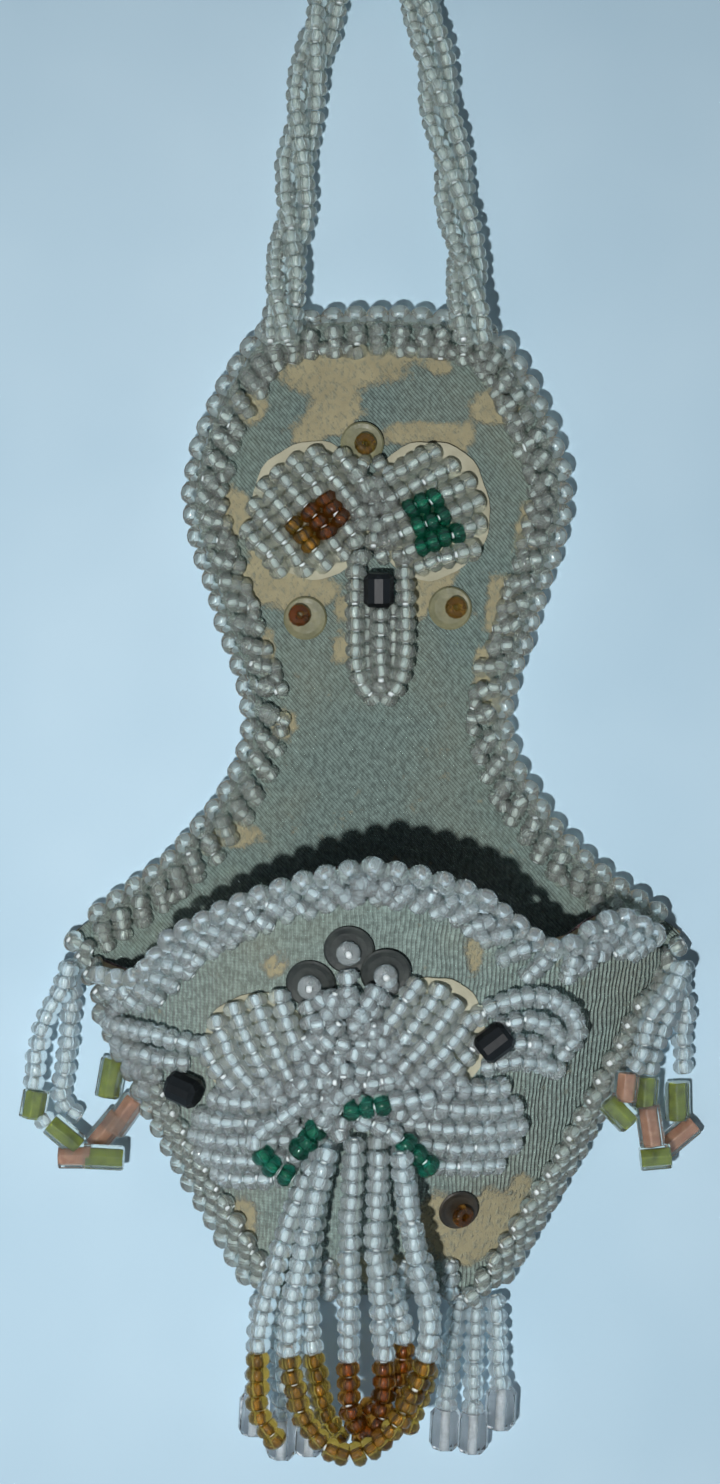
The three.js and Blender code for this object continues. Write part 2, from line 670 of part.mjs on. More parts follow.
// The centre fringe: loops in three layers, the rear ones first.
function addCentreFringe() {
  const rear = onFront(CENTRE_GATHER_X, CENTRE_GATHER_Z, -SEAT_GAP).y - FRINGE_DIAMETER / 2;
  const loops = [
    [0, [[2.2, 0], [2.8, -12], [4, -24], [6.6, -31], [5.8, -39], [1.2, -43.4], [-1, -46]]],
    [0, [[-5.2, 0], [-7.4, -10], [-9, -24], [-8, -36], [-6, -45], [-3.4, -49]]],
    [1, [[-1.4, 0], [-2.2, -14], [-2.3, -32], [-2.1, -43], [0.6, -47.6], [3, -43], [3, -30], [2, -16],
      [2.6, -2]]],
    [1, [[-5.4, 0], [-9.5, -7], [-13.6, -18], [-16.8, -30], [-17.2, -37], [-16.9, -44], [-13.6, -48.4]]],
    [1, [[6.4, -1], [7.4, -12], [10, -22], [11, -30], [9.4, -40], [6.6, -46]]],
    [2, [[-5.8, -1], [-9, -14], [-12, -28], [-11.6, -36], [-8.6, -45], [-3.2, -49], [2.6, -47], [7.2, -41],
      [10, -34.4], [10.8, -28], [9.4, -22], [7.4, -11], [6, -1.6]]],
  ];
  loops.forEach(([layer, places], i) => {
    const y = rear - FRINGE_LAYER * layer;
    const route = places.map(([x, z]) => [CENTRE_GATHER_X + x, y, CENTRE_GATHER_Z + z]);
    addPiece(`centre_loop_${i + 1}`, fringe(route), COLOURS.glass, 0.2);
  });
}

// A hexagonal tube bead lying along its strand, across the view from the front.
function tubeBead([x, y, z], length, tilt) {
  const radius = TUBE_BEAD_WIDTH / 2;
  const bead = new THREE.CylinderGeometry(radius, radius, length, 6);
  bead.rotateZ(Math.PI / 2);
  bead.rotateY(-tilt);
  bead.translate(x, y, z);
  return bead;
}

// A loop from a corner of the pocket: layers lie closer at the top than where its tube beads are.
function cornerLoop(hand, layer, places, tubes) {
  const gatherX = CENTRE_X + hand * (HIP_HALF - CORNER_GATHER_INSET);
  const gatherZ = HIP_Z - CORNER_GATHER_DROP;
  const placeOf = ([x, z]) => {
    const spread = TUBE_SPREAD * Math.min(1, -z / TUBE_SPREAD_DROP);
    const inwards = LOOP_LEAN * Math.min(-z, TUBE_SPREAD_DROP);
    return [gatherX + x - hand * inwards, CORNER_GATHER_Y + layer * (FRINGE_LAYER + spread), gatherZ + z];
  };
  const beads = tubes.map(([x, z, length, tilt]) => tubeBead(placeOf([x, z]), length, degrees(tilt)));
  return joined([fringe(places.map(placeOf)), ...beads]);
}

function addCornerFringes() {
  const loops = {
    corner_loop_left_1: [-1, 0,
      [[0.8, -1], [-0.4, -5], [-2.6, -9], [-4.6, -15], [-5.2, -20], [-5.3, -24], [-3.2, -28], [0.4, -30.6],
        [2.4, -33.8], [6, -34]],
      [[-5.3, -25, 4.4, 80], [-0.2, -30.2, 6, -40], [1.6, -33.8, 5.2, 0], [6.4, -34, 6.4, 20]]],
    corner_loop_left_2: [-1, 1,
      [[1, -1], [0.4, -9], [-0.2, -15], [-0.8, -20], [-1.2, -25], [2.4, -28.4], [6.6, -30.6], [9, -28],
        [8, -22.6], [7, -20]],
      [[6.4, -30.2, 6.6, 50], [9.3, -27.6, 6.6, 55], [7.1, -21.2, 6.4, 60]]],
    corner_loop_right_1: [1, -1,
      [[-1.6, -1], [-3.4, -5], [-5.8, -8], [-7.6, -11.5], [-8.6, -16], [-10.6, -20], [-12.2, -25]],
      [[-11.2, -21.4, 4.4, 60], [-12.4, -25.6, 5.2, 35]]],
    corner_loop_right_2: [1, 0,
      [[-0.9, -1], [-3.2, -9], [-5.6, -15], [-7, -21], [-7, -27], [-5.8, -33]],
      [[-7.3, -23, 5, -35], [-6.6, -28.6, 6.6, 60], [-5.7, -34, 4.8, 5]]],
    corner_loop_right_3: [1, 1,
      [[-0.5, -1], [-0.8, -5], [0, -9], [-0.4, -14], [-0.4, -19], [-1, -25], [-1.2, -31]],
      [[-1.3, -25.2, 6.2, -30], [-1.2, -31.2, 6.8, 40]]],
  };
  for (const [name, [hand, layer, places, tubes]] of Object.entries(loops)) {
    addPiece(name, cornerLoop(hand, layer, places, tubes), COLOURS.glass, 0.2);
  }
}

// A straight bead strand from a bottom corner, with a faceted bead at its end.
function endedStrand(hand, top, foot) {
  const gatherX = CENTRE_X + hand * (BOTTOM_HALF - BOTTOM_GATHER_INSET);
  const gatherZ = BOTTOM_Z + RIM_INSET - BOTTOM_GATHER_GAP;
  const placeOf = ([x, z]) => [gatherX + hand * x, BOTTOM_GATHER_Y, gatherZ + z];
  const middle = [(2 * top[0] + foot[0]) / 3, (2 * top[1] + foot[1]) / 3];
  const end = new THREE.CylinderGeometry(END_BEAD_WIDTH / 2, END_BEAD_WIDTH / 2, END_BEAD_LENGTH, 6);
  end.rotateX(Math.PI / 2);
  end.translate(...placeOf([foot[0], foot[1] - END_BEAD_LENGTH / 2 + 0.4]));
  return joined([fringe([placeOf(top), placeOf(middle), placeOf(foot)]), end]);
}

function addBottomFringes() {
  const strands = [
    [[-2.7, 0], [-5.4, -20.4]],
    [[0.4, 0], [0.4, -21]],
    [[3.5, 0], [5.8, -17]],
  ];
  strands.forEach(([top, foot], i) => {
    const right = endedStrand(1, top, foot);
    addPiece(`bottom_strand_right_${i + 1}`, right, COLOURS.glass, 0.2);
    const left = endedStrand(-1, top, [foot[0], foot[1] - 1]);
    addPiece(`bottom_strand_left_${i + 1}`, left, COLOURS.glass, 0.2);
  });
}

addBack();
addFront();
addBackEdging();
addMouthEdging();
addSideEdging("side_seam_beading_left", -1, LEFT_EDGING_DROP);
addSideEdging("side_seam_beading_right", 1, RIGHT_EDGING_DROP);
addBottomEdging();
addStrap();
addUpperMotif();
addFrontMotif();
addSequins();
addTrefoilStems();
addCentreFringe();
addCornerFringes();
addBottomFringes();

export default pocket;
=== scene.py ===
import math
import random

import bmesh
import bpy
from mathutils import Matrix, Vector


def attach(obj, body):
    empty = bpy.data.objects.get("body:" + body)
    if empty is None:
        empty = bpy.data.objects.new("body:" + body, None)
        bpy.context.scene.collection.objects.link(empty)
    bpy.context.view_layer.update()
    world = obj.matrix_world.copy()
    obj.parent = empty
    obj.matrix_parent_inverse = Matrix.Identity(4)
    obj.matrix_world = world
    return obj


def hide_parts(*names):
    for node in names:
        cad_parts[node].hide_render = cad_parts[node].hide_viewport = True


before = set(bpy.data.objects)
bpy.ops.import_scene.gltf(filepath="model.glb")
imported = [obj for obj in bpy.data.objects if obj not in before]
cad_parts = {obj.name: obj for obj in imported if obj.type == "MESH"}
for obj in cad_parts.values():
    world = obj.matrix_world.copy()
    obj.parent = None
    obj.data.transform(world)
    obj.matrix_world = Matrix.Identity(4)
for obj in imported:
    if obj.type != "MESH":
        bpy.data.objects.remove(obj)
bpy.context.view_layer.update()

bl_info = {
    "name": "Beaded wall pocket",
    "version": (1, 0, 0),
    "blender": (4, 5, 0),
    "location": "3D View > Sidebar > Pocket",
    "description": "Beads, cloth and paper of a beaded wall pocket, set on its packed model",
    "category": "Object",
}

# Shapes are worked out in millimetres, as in the part's source, and stored in metres.
MM = 0.001

# The back: depth of its cloth face, and half widths and heights of the outline its rim follows
BACK_FACE_Y = 1.4
FOOT_Y = 1.1
CENTRE_X = 0.4
HIP_HALF, HIP_Z = 53.5, -164.0
BOTTOM_HALF, BOTTOM_Z = 20.5, -225.0
SIDE_BELLY = 1.2
RIM_INSET = 1.7
HEAD_POINTS = [
    (53.5, -164.0, 1.0, 0.4),
    (33.0, -149.5, 0.6, 0.8),
    (23.0, -129.0, 1.0, 0.0),
    (28.0, -108.5, 1.0, 0.0),
    (33.0, -88.0, 1.0, 0.0),
    (25.0, -66.5, 0.7, -0.7),
    (14.0, -58.0, 0.3, -1.0),
]

# The bowed front
FRONT_DEPTH_TOP, FRONT_DEPTH_BOTTOM = 26.0, 1.6
BOW_POWER = 0.8
HUMP_TOP_Z = -150.0
CORNER_DROP = 2.0
FRONT_THICKNESS = 2.6
FOOT_INSET = 5.2
MOUTH_HALF = HIP_HALF - FOOT_INSET
MOUTH_POINTS = [
    (CENTRE_X - MOUTH_HALF, HIP_Z - CORNER_DROP - 1.5),
    (-39, -169),
    (-31.5, -162.2),
    (-23, -157),
    (-13.5, -152.8),
    (-2, -150),
    (8.5, -151.6),
    (16.5, -155.2),
    (28, -163.6),
    (38, -159.4),
    (CENTRE_X + MOUTH_HALF, HIP_Z - CORNER_DROP),
]

# The strap's three strands wind round this line
STRAP_CENTRE = [
    (-15.6, -5.6, -64),
    (-15.5, -4.6, -57),
    (-14.8, -2, -50),
    (-14, -0.4, -43),
    (-13.2, 0, -32.5),
    (-11.6, 0, -20),
    (-8.8, 0, -8),
    (-5, 0, 0.8),
    (0, 0, 3.6),
    (5, 0, 0.8),
    (8.6, 0, -8),
    (10.4, 0, -18),
    (12.6, 0, -30.5),
    (14.2, -0.4, -41),
    (15.2, -2, -49),
    (15.8, -4.6, -57),
    (16, -5.6, -64),
]
STRAP_STEPS, STRAP_TWISTS, STRAP_TWIST_RADIUS = 26, 3, 2.1


def rgb(red, green, blue):
    """A colour as a paint card gives it, 0 to 255, as the plain light values that a shader takes."""
    return tuple(
        c / 12.92 if c <= 0.04045 else ((c + 0.055) / 1.055) ** 2.4
        for c in (red / 255, green / 255, blue / 255)
    ) + (1.0,)


# ---- settings that a user would change


class PocketBeadSettings(bpy.types.PropertyGroup):
    bead_diameter: bpy.props.FloatProperty(
        name="Bead diameter", description="Width of a seed bead across its bore", default=0.0036, unit="LENGTH"
    )
    bead_pitch: bpy.props.FloatProperty(
        name="Bead pitch", description="Distance from bead to bead along a thread", default=0.0022, unit="LENGTH"
    )
    row_pitch: bpy.props.FloatProperty(
        name="Row pitch", description="Distance from row to row in a raised lobe", default=0.0033, unit="LENGTH"
    )
    stitch_pitch: bpy.props.FloatProperty(
        name="Stitch pitch", description="Distance from stitch to stitch along an edge", default=0.0038, unit="LENGTH"
    )
    unevenness: bpy.props.FloatProperty(
        name="Unevenness", description="How far beads differ in size and lie out of line", default=1.0, min=0, max=3
    )
    clear: bpy.props.FloatVectorProperty(
        name="Clear glass", description="Tint of the clear beads", subtype="COLOR", size=4, min=0, max=1,
        default=rgb(242, 249, 249),
    )
    gold: bpy.props.FloatVectorProperty(
        name="Gold glass", description="Tint of the amber and gold beads", subtype="COLOR", size=4, min=0, max=1,
        default=rgb(206, 166, 74),
    )
    green: bpy.props.FloatVectorProperty(
        name="Green glass", description="Tint of the green beads", subtype="COLOR", size=4, min=0, max=1,
        default=rgb(56, 168, 138),
    )


class PocketClothSettings(bpy.types.PropertyGroup):
    back: bpy.props.FloatVectorProperty(
        name="Back cloth", description="Colour of the blue-grey twill", subtype="COLOR", size=4, min=0, max=1,
        default=rgb(118, 137, 131),
    )
    front: bpy.props.FloatVectorProperty(
        name="Front cloth", description="Colour of the ribbed front cloth", subtype="COLOR", size=4, min=0, max=1,
        default=rgb(131, 150, 144),
    )
    worn: bpy.props.FloatVectorProperty(
        name="Worn patches", description="Colour of the card where the cloth has worn through", subtype="COLOR",
        size=4, min=0, max=1, default=rgb(164, 156, 125),
    )
    lining: bpy.props.FloatVectorProperty(
        name="Lining", description="Colour of the dark lining", subtype="COLOR", size=4, min=0, max=1,
        default=rgb(58, 26, 26),
    )
    twill_pitch: bpy.props.FloatProperty(
        name="Twill pitch", description="Distance between the back cloth's diagonal lines", default=0.0005,
        unit="LENGTH",
    )
    rib_pitch: bpy.props.FloatProperty(
        name="Rib pitch", description="Distance between the front cloth's ribs", default=0.0007, unit="LENGTH"
    )


class PocketLightSettings(bpy.types.PropertyGroup):
    key_power: bpy.props.FloatProperty(
        name="Key power", description="Power of the lamp low beside the camera, in watts", default=1.75, min=0
    )
    fill: bpy.props.FloatProperty(
        name="Fill", description="Strength of the even light from all round", default=0.07, min=0
    )


def beads():
    return bpy.context.scene.pocket_beads


def cloths():
    return bpy.context.scene.pocket_cloths


# ---- curves and surfaces


def uniform_curve(points, steps=24):
    """A dense line through flat points, evenly timed from point to point."""
    line = []
    last = len(points) - 1
    for i in range(last):
        p0, p1, p2, p3 = (Vector(points[max(0, min(last, k))]) for k in (i - 1, i, i + 1, i + 2))
        v0, v1 = (p2 - p0) / 2, (p3 - p1) / 2
        for step in range(steps):
            t = step / steps
            line.append((2 * p1 - 2 * p2 + v0 + v1) * t**3 + (3 * p2 - 3 * p1 - 2 * v0 - v1) * t**2 + v0 * t + p1)
    line.append(Vector(points[-1]))
    return line


def thread_curve(points, steps=16):
    """A dense line through points in space that never swings wide between them."""
    pts = [Vector(p) for p in points]
    pts = [2 * pts[0] - pts[1], *pts, 2 * pts[-1] - pts[-2]]
    line = []
    for i in range(1, len(pts) - 2):
        p0, p1, p2, p3 = pts[i - 1 : i + 3]
        gap0, gap1, gap2 = ((b - a).length ** 0.5 for a, b in ((p0, p1), (p1, p2), (p2, p3)))
        t1 = ((p1 - p0) / gap0 - (p2 - p0) / (gap0 + gap1) + (p2 - p1) / gap1) * gap1
        t2 = ((p2 - p1) / gap1 - (p3 - p1) / (gap1 + gap2) + (p3 - p2) / gap2) * gap1
        for step in range(steps):
            t = step / steps
            line.append(p1 + t1 * t + (3 * p2 - 3 * p1 - 2 * t1 - t2) * t**2 + (2 * p1 - 2 * p2 + t1 + t2) * t**3)
    line.append(pts[-2])
    return line


def spaced(line, pitch=None, count=None, ends=False):
    """Places at even steps along a line: a list of (place, direction, share of the length)."""
    lengths = [0.0]
    for a, b in zip(line, line[1:]):
        lengths.append(lengths[-1] + (b - a).length)
    total = lengths[-1]
    count = count or max(1, round(total / pitch))
    shares = [i / (count - 1) for i in range(count)] if ends else [(i + 0.5) / count for i in range(count)]
    found, k = [], 0
    for share in shares:
        at = share * total
        while k < len(lengths) - 2 and lengths[k + 1] < at:
            k += 1
        span = max(lengths[k + 1] - lengths[k], 1e-9)
        a, b = line[k], line[k + 1]
        found.append((a.lerp(b, (at - lengths[k]) / span), (b - a).normalized(), share))
    return found


def length_of(line):
    return sum((b - a).length for a, b in zip(line, line[1:]))


def lerp(a, b, t):
    return a + (b - a) * t


def clamp(value, low=0.0, high=1.0):
    return max(low, min(high, value))


def side_half(z, inset):
    """Half width of the V below the hips, where the two panels are sewn together."""
    share = clamp((HIP_Z - z) / (HIP_Z - BOTTOM_Z))
    return lerp(HIP_HALF, BOTTOM_HALF, share) + SIDE_BELLY * math.sin(math.pi * share) - inset


def bow_depth(x, z):
    half = side_half(z, FOOT_INSET)
    share = clamp((HUMP_TOP_Z - z) / (HUMP_TOP_Z - BOTTOM_Z))
    across = clamp((x - CENTRE_X) / half, -1, 1)
    return lerp(FRONT_DEPTH_TOP, FRONT_DEPTH_BOTTOM, share) * (1 - across * across) ** BOW_POWER


def bow_normal(x, z):
    step = 0.3
    slope_x = (bow_depth(x + step, z) - bow_depth(x - step, z)) / (2 * step)
    slope_z = (bow_depth(x, z + step) - bow_depth(x, z - step)) / (2 * step)
    return Vector((-slope_x, -1, -slope_z)).normalized()


def on_bow(x, z, lift):
    return Vector((x, FOOT_Y - bow_depth(x, z), z)) + bow_normal(x, z) * lift


def on_front(x, z, lift):
    """A point lifted off the front panel's cloth."""
    return on_bow(x, z, FRONT_THICKNESS + lift)


def on_back(x, z, lift):
    """A point lifted off the back panel's cloth."""
    return Vector((x, BACK_FACE_Y - lift, z))


def head_outline(inset):
    """The back's outline from the left hip up round the head to the right hip."""
    half = [(x - inset * kx, z + inset * kz) for x, z, kx, kz in HEAD_POINTS]
    left = [(CENTRE_X - x, z) for x, z in half]
    right = [(CENTRE_X + x, z) for x, z in reversed(half)]
    return uniform_curve(left + right)


MOUTH = uniform_curve(MOUTH_POINTS)


def front_plan(u, v):
    """A point of the front panel seen flat: u from -1 at the left seam to 1, v from 0 at the mouth to 1."""
    at = (u + 1) / 2 * (len(MOUTH) - 1)
    k = min(int(at), len(MOUTH) - 2)
    mouth = MOUTH[k].lerp(MOUTH[k + 1], at - k)
    bottom = BOTTOM_Z + RIM_INSET
    level = lerp(HIP_Z - CORNER_DROP, bottom, v)
    spread = side_half(level, FOOT_INSET) / MOUTH_HALF
    return CENTRE_X + (mouth.x - CENTRE_X) * spread, lerp(mouth.y, bottom, v)


# ---- finishes


class Finish:
    """A material's node tree, with short ways to add and join nodes."""

    def __init__(self, name):
        self.material = bpy.data.materials.new(name)
        self.material.use_nodes = True
        self.tree = self.material.node_tree
        self.shader = self.tree.nodes["Principled BSDF"]

    def set(self, **values):
        for name, value in values.items():
            self.shader.inputs[name.replace("_", " ")].default_value = value
        return self

    def node(self, kind, links=(), **values):
        node = self.tree.nodes.new(kind)
        for name, value in values.items():
            setattr(node, name, value)
        for socket, source in dict(links).items():
            if isinstance(source, bpy.types.NodeSocket):
                self.tree.links.new(source, node.inputs[socket])
            else:
                node.inputs[socket].default_value = source
        return node

    def join(self, source, socket):
        self.tree.links.new(source, self.shader.inputs[socket])
        return self

    def place(self, turn=(0, 0, 0), scale=(1, 1, 1)):
        """The piece's own coordinates, turned and scaled."""
        at = self.node("ShaderNodeTexCoord").outputs["Object"]
        return self.node("ShaderNodeMapping", {"Vector": at, "Rotation": turn, "Scale": scale}).outputs[0]

    def noise(self, at, scale, detail=3.0, rough=0.55):
        node = self.node(
            "ShaderNodeTexNoise", {"Vector": at, "Scale": scale, "Detail": detail, "Roughness": rough}
        )
        return node.outputs["Fac"]

    def ramp(self, value, *stops):
        """Colours or greys at places along a value."""
        node = self.node("ShaderNodeValToRGB", {"Fac": value})
        marks = node.color_ramp.elements
        while len(marks) < len(stops):
            marks.new(0.5)
        for mark, (place, colour) in zip(marks, stops):
            mark.position = place
            mark.color = colour if isinstance(colour, tuple) else (colour, colour, colour, 1)
        return node.outputs["Color"]

    def mix(self, share, a, b, blend="MIX"):
        node = self.node("ShaderNodeMix", data_type="RGBA", blend_type=blend)
        for socket, source in ((0, share), (6, a), (7, b)):
            if isinstance(source, bpy.types.NodeSocket):
                self.tree.links.new(source, node.inputs[socket])
            else:
                node.inputs[socket].default_value = source
        return node.outputs[2]

    def maths(self, operation, a, b=0.0, clamped=False):
        return self.node("ShaderNodeMath", {0: a, 1: b}, operation=operation, use_clamp=clamped).outputs[0]

    def bump(self, height, depth, strength=1.0):
        node = self.node("ShaderNodeBump", {"Height": height, "Strength": strength, "Distance": depth})
        return self.join(node.outputs["Normal"], "Normal")

    def group(self, tree, **values):
        node = self.tree.nodes.new("ShaderNodeGroup")
        node.node_tree = tree
        for name, source in values.items():
            socket = node.inputs[name.replace("_", " ")]
            if isinstance(source, bpy.types.NodeSocket):
                self.tree.links.new(source, socket)
            else:
                socket.default_value = source
        return node


def shaded(colour, share):
    return tuple(min(1.0, c * share) for c in colour[:3]) + (1.0,)


def rib_group():
    """Woven ribs: a height that is low between ribs, which the cloths darken as painted shade, and a fuzz noise, from
    turned coordinates and a scale.
    """
    tree = bpy.data.node_groups.new("woven_ribs", "ShaderNodeTree")
    tree.interface.new_socket("At", in_out="INPUT", socket_type="NodeSocketVector")
    tree.interface.new_socket("Rib Scale", in_out="INPUT", socket_type="NodeSocketFloat")
    tree.interface.new_socket("Wander", in_out="INPUT", socket_type="NodeSocketFloat")
    tree.interface.new_socket("Height", in_out="OUTPUT", socket_type="NodeSocketFloat")
    tree.interface.new_socket("Fuzz", in_out="OUTPUT", socket_type="NodeSocketFloat")
    nodes, links = tree.nodes, tree.links
    come, go = nodes.new("NodeGroupInput"), nodes.new("NodeGroupOutput")
    ribs = nodes.new("ShaderNodeTexWave")
    ribs.wave_type, ribs.bands_direction, ribs.wave_profile = "BANDS", "X", "SIN"
    ribs.inputs["Detail"].default_value = 2.0
    ribs.inputs["Detail Scale"].default_value = 0.4
    cross = nodes.new("ShaderNodeTexWave")
    cross.wave_type, cross.bands_direction, cross.wave_profile = "BANDS", "Z", "SIN"
    cross.inputs["Distortion"].default_value = 3.0
    cross.inputs["Detail"].default_value = 2.0
    fuzz = nodes.new("ShaderNodeTexNoise")
    fuzz.inputs["Detail"].default_value = 4.0
    for node in (ribs, cross, fuzz):
        links.new(come.outputs["At"], node.inputs["Vector"])
    links.new(come.outputs["Rib Scale"], ribs.inputs["Scale"])
    links.new(come.outputs["Wander"], ribs.inputs["Distortion"])
    double = nodes.new("ShaderNodeMath")
    double.operation = "MULTIPLY"
    double.inputs[1].default_value = 1.4
    links.new(come.outputs["Rib Scale"], double.inputs[0])
    links.new(double.outputs[0], cross.inputs["Scale"])
    links.new(double.outputs[0], fuzz.inputs["Scale"])
    part = nodes.new("ShaderNodeMath")
    part.operation = "MULTIPLY_ADD"
    part.inputs[1].default_value = 0.35
    links.new(cross.outputs["Fac"], part.inputs[0])
    links.new(ribs.outputs["Fac"], part.inputs[2])
    links.new(part.outputs[0], go.inputs["Height"])
    links.new(fuzz.outputs["Fac"], go.inputs["Fuzz"])
    return tree


def woven_cloth(name, colour, pitch, turn, wander, depth, rib_shade):
    """Ribbed cloth with painted shade in the dips between its ribs and painted light on their crowns, worn through to
    the card where the piece's own wear value and a noise meet.
    """
    worn = tuple(cloths().worn)
    f = Finish(name).set(Roughness=0.92, Specular_IOR_Level=0.25, Sheen_Weight=0.15, Sheen_Roughness=0.6)
    at = f.place(turn)
    ribs = f.group(bpy.data.node_groups["woven_ribs"], At=at, Rib_Scale=0.314 / pitch, Wander=wander)
    broad = f.noise(at, 45.0, 4.0)
    fine = f.noise(f.place(turn, (1.0, 1.0, 0.7)), 1300.0, 3.0)
    # Painted shade and light: the colour is darker between the ribs and lighter on their crowns, following the same
    # height that drives the bump; the last argument sets how strong it is.
    lit = f.ramp(ribs.outputs["Height"], (0.1, shaded(colour, 1 - rib_shade)), (0.9, shaded(colour, 1 + 0.3 * rib_shade)))
    flecked = f.mix(f.ramp(fine, (0.38, 0.7), (0.52, 0.0)), lit, shaded(colour, 0.5))
    flecked = f.mix(f.ramp(fine, (0.54, 0.0), (0.68, 0.5)), flecked, shaded(colour, 1.45))
    faded = f.mix(f.ramp(broad, (0.42, 0.0), (0.75, 0.25)), flecked, shaded(worn, 0.8))
    wear = f.node("ShaderNodeAttribute", attribute_name="worn").outputs["Fac"]
    ragged = f.maths("ADD", wear, f.maths("MULTIPLY", f.noise(at, 300.0, 6.0, 0.72), 1.3))
    mask = f.maths("MULTIPLY", f.ramp(ragged, (0.8, 0.0), (1.16, 1.0)), f.ramp(fine, (0.32, 0.6), (0.52, 1.0)))
    card = f.mix(f.noise(at, 260.0, 6.0, 0.75), shaded(worn, 0.5), shaded(worn, 1.12))
    f.join(f.mix(mask, faded, card), "Base Color")
    weave = f.maths("MULTIPLY", ribs.outputs["Height"], f.maths("SUBTRACT", 1.0, mask))
    height = f.maths("ADD", weave, f.maths("MULTIPLY", fine, 0.5))
    height = f.maths("SUBTRACT", height, f.maths("MULTIPLY", mask, 0.9))
    f.bump(height, depth)
    return f.material


def glass(name, tint, rough=0.09, deep=0.9, weight=0.84):
    f = Finish(name).set(Transmission_Weight=weight, IOR=1.33, Roughness=rough)
    at = f.place()
    f.join(f.ramp(f.noise(at, 330.0, 1.0), (0.35, shaded(tint, deep)), (0.65, tint)), "Base Color")
    f.bump(f.noise(at, 900.0, 2.0), 0.00006, 0.5)
    return f.material


def finishes():
    """Every finish of the pocket, by its plain name."""
    b, c = beads(), cloths()
    rib_group()
    made = {
        "clear_glass": glass("clear_glass", tuple(b.clear)),
        "grey_glass": glass("grey_glass", rgb(232, 236, 229), weight=0.87),
        "gold_glass": glass("gold_glass", tuple(b.gold), 0.08, 0.6, 0.93),
        "amber_glass": glass("amber_glass", rgb(184, 122, 44), 0.08, 0.6, 0.93),
        "green_glass": glass("green_glass", tuple(b.green), 0.08, 0.6, 0.92),
        "pink_glass": glass("pink_glass", rgb(236, 229, 226), 0.03, 0.86, 1.0),
        "tube_glass": glass("tube_glass", rgb(248, 250, 244), 0.03, 0.96, 0.97),
        "back_cloth": woven_cloth("back_cloth", tuple(c.back), c.twill_pitch, (0, 0.72, 0), 3.4, 0.0002, 0.13),
        "front_cloth": woven_cloth("front_cloth", tuple(c.front), c.rib_pitch, (0, -0.05, 0), 6.0, 0.0003, 0.22),
    }

    f = Finish("thread").set(Roughness=0.7, Specular_IOR_Level=0.4)
    at = f.place()
    f.join(f.ramp(f.noise(at, 800.0, 2.0), (0.3, rgb(196, 204, 204)), (0.7, rgb(236, 243, 245))), "Base Color")
    made["thread"] = f.bump(f.noise(at, 3000.0, 2.0), 0.0001).material

    f = Finish("black_glass").set(Roughness=0.42, Specular_IOR_Level=0.2)
    at = f.place()
    f.join(f.ramp(f.noise(at, 300.0, 2.0), (0.3, rgb(6, 7, 8)), (0.8, rgb(20, 22, 24))), "Base Color")
    made["black_glass"] = f.bump(f.noise(at, 1200.0, 2.0), 0.00005, 0.4).material

    for name, low, high in (
        ("olive_core", rgb(80, 92, 14), rgb(130, 140, 34)),
        ("copper_core", rgb(148, 94, 69), rgb(190, 138, 110)),
    ):
        f = Finish(name).set(Roughness=0.22)
        f.join(f.ramp(f.noise(f.place(), 500.0, 3.0), (0.3, low), (0.7, high)), "Base Color")
        made[name] = f.material

    for name, low, high, metal in (
        ("olive_sequin", rgb(98, 98, 72), rgb(124, 122, 92), 0.0),
        ("dark_sequin", rgb(27, 30, 28), rgb(50, 54, 50), 0.1),
        ("brown_sequin", rgb(32, 28, 22), rgb(58, 50, 38), 0.1),
    ):
        f = Finish(name).set(Roughness=0.45, Metallic=metal, Specular_IOR_Level=0.4)
        at = f.place()
        f.join(f.ramp(f.noise(at, 380.0, 5.0, 0.65), (0.35, low), (0.7, high)), "Base Color")
        f.join(f.ramp(f.noise(at, 900.0, 2.0), (0.3, 0.4), (0.7, 0.6)), "Roughness")
        made[name] = f.bump(f.noise(at, 1500.0, 3.0), 0.00008, 0.6).material

    f = Finish("cream_paper").set(Roughness=0.85, Specular_IOR_Level=0.2)
    at = f.place()
    tone = f.ramp(f.noise(at, 140.0, 5.0, 0.6), (0.3, rgb(150, 147, 126)), (0.7, rgb(180, 177, 156)))
    f.join(tone, "Base Color")
    made["cream_paper"] = f.bump(f.noise(at, 1600.0, 4.0), 0.00008, 0.6).material

    f = Finish("tan_card").set(Roughness=0.9, Specular_IOR_Level=0.2)
    at = f.place()
    f.join(f.ramp(f.noise(at, 300.0, 5.0, 0.6), (0.3, rgb(140, 122, 94)), (0.7, rgb(180, 164, 136))), "Base Color")
    made["tan_card"] = f.bump(f.noise(at, 1200.0, 4.0), 0.00015, 0.7).material

    lining = tuple(c.lining)
    f = Finish("maroon_lining").set(Roughness=0.95, Sheen_Weight=0.3, Sheen_Roughness=0.5)
    at = f.place((0, 0.4, 0))
    ribs = f.group(bpy.data.node_groups["woven_ribs"], At=at, Rib_Scale=0.314 / 0.0007, Wander=2.0)
    # Painted shade and light: the lining is darker between its ribs and lighter on their crowns, following the same
    # height that drives its bump.
    f.join(f.ramp(ribs.outputs["Height"], (0.1, shaded(lining, 0.55)), (0.9, shaded(lining, 1.3))), "Base Color")
    made["maroon_lining"] = f.bump(ribs.outputs["Height"], 0.0002).material
    return made


FINISH = {}


# ---- shapes that repeat


def turned_shape(name, profile, steps, smooth=True):
    """A closed ring of (radius, height) points spun about +Z."""
    bm = bmesh.new()
    ring = [bm.verts.new((r, 0, z)) for r, z in profile]
    edges = [bm.edges.new((a, b)) for a, b in zip(ring, ring[1:] + ring[:1])]
    bmesh.ops.spin(
        bm, geom=ring + edges, cent=(0, 0, 0), axis=(0, 0, 1), angle=2 * math.pi, steps=steps, use_merge=True
    )
    return shape_done(bm, name, smooth)


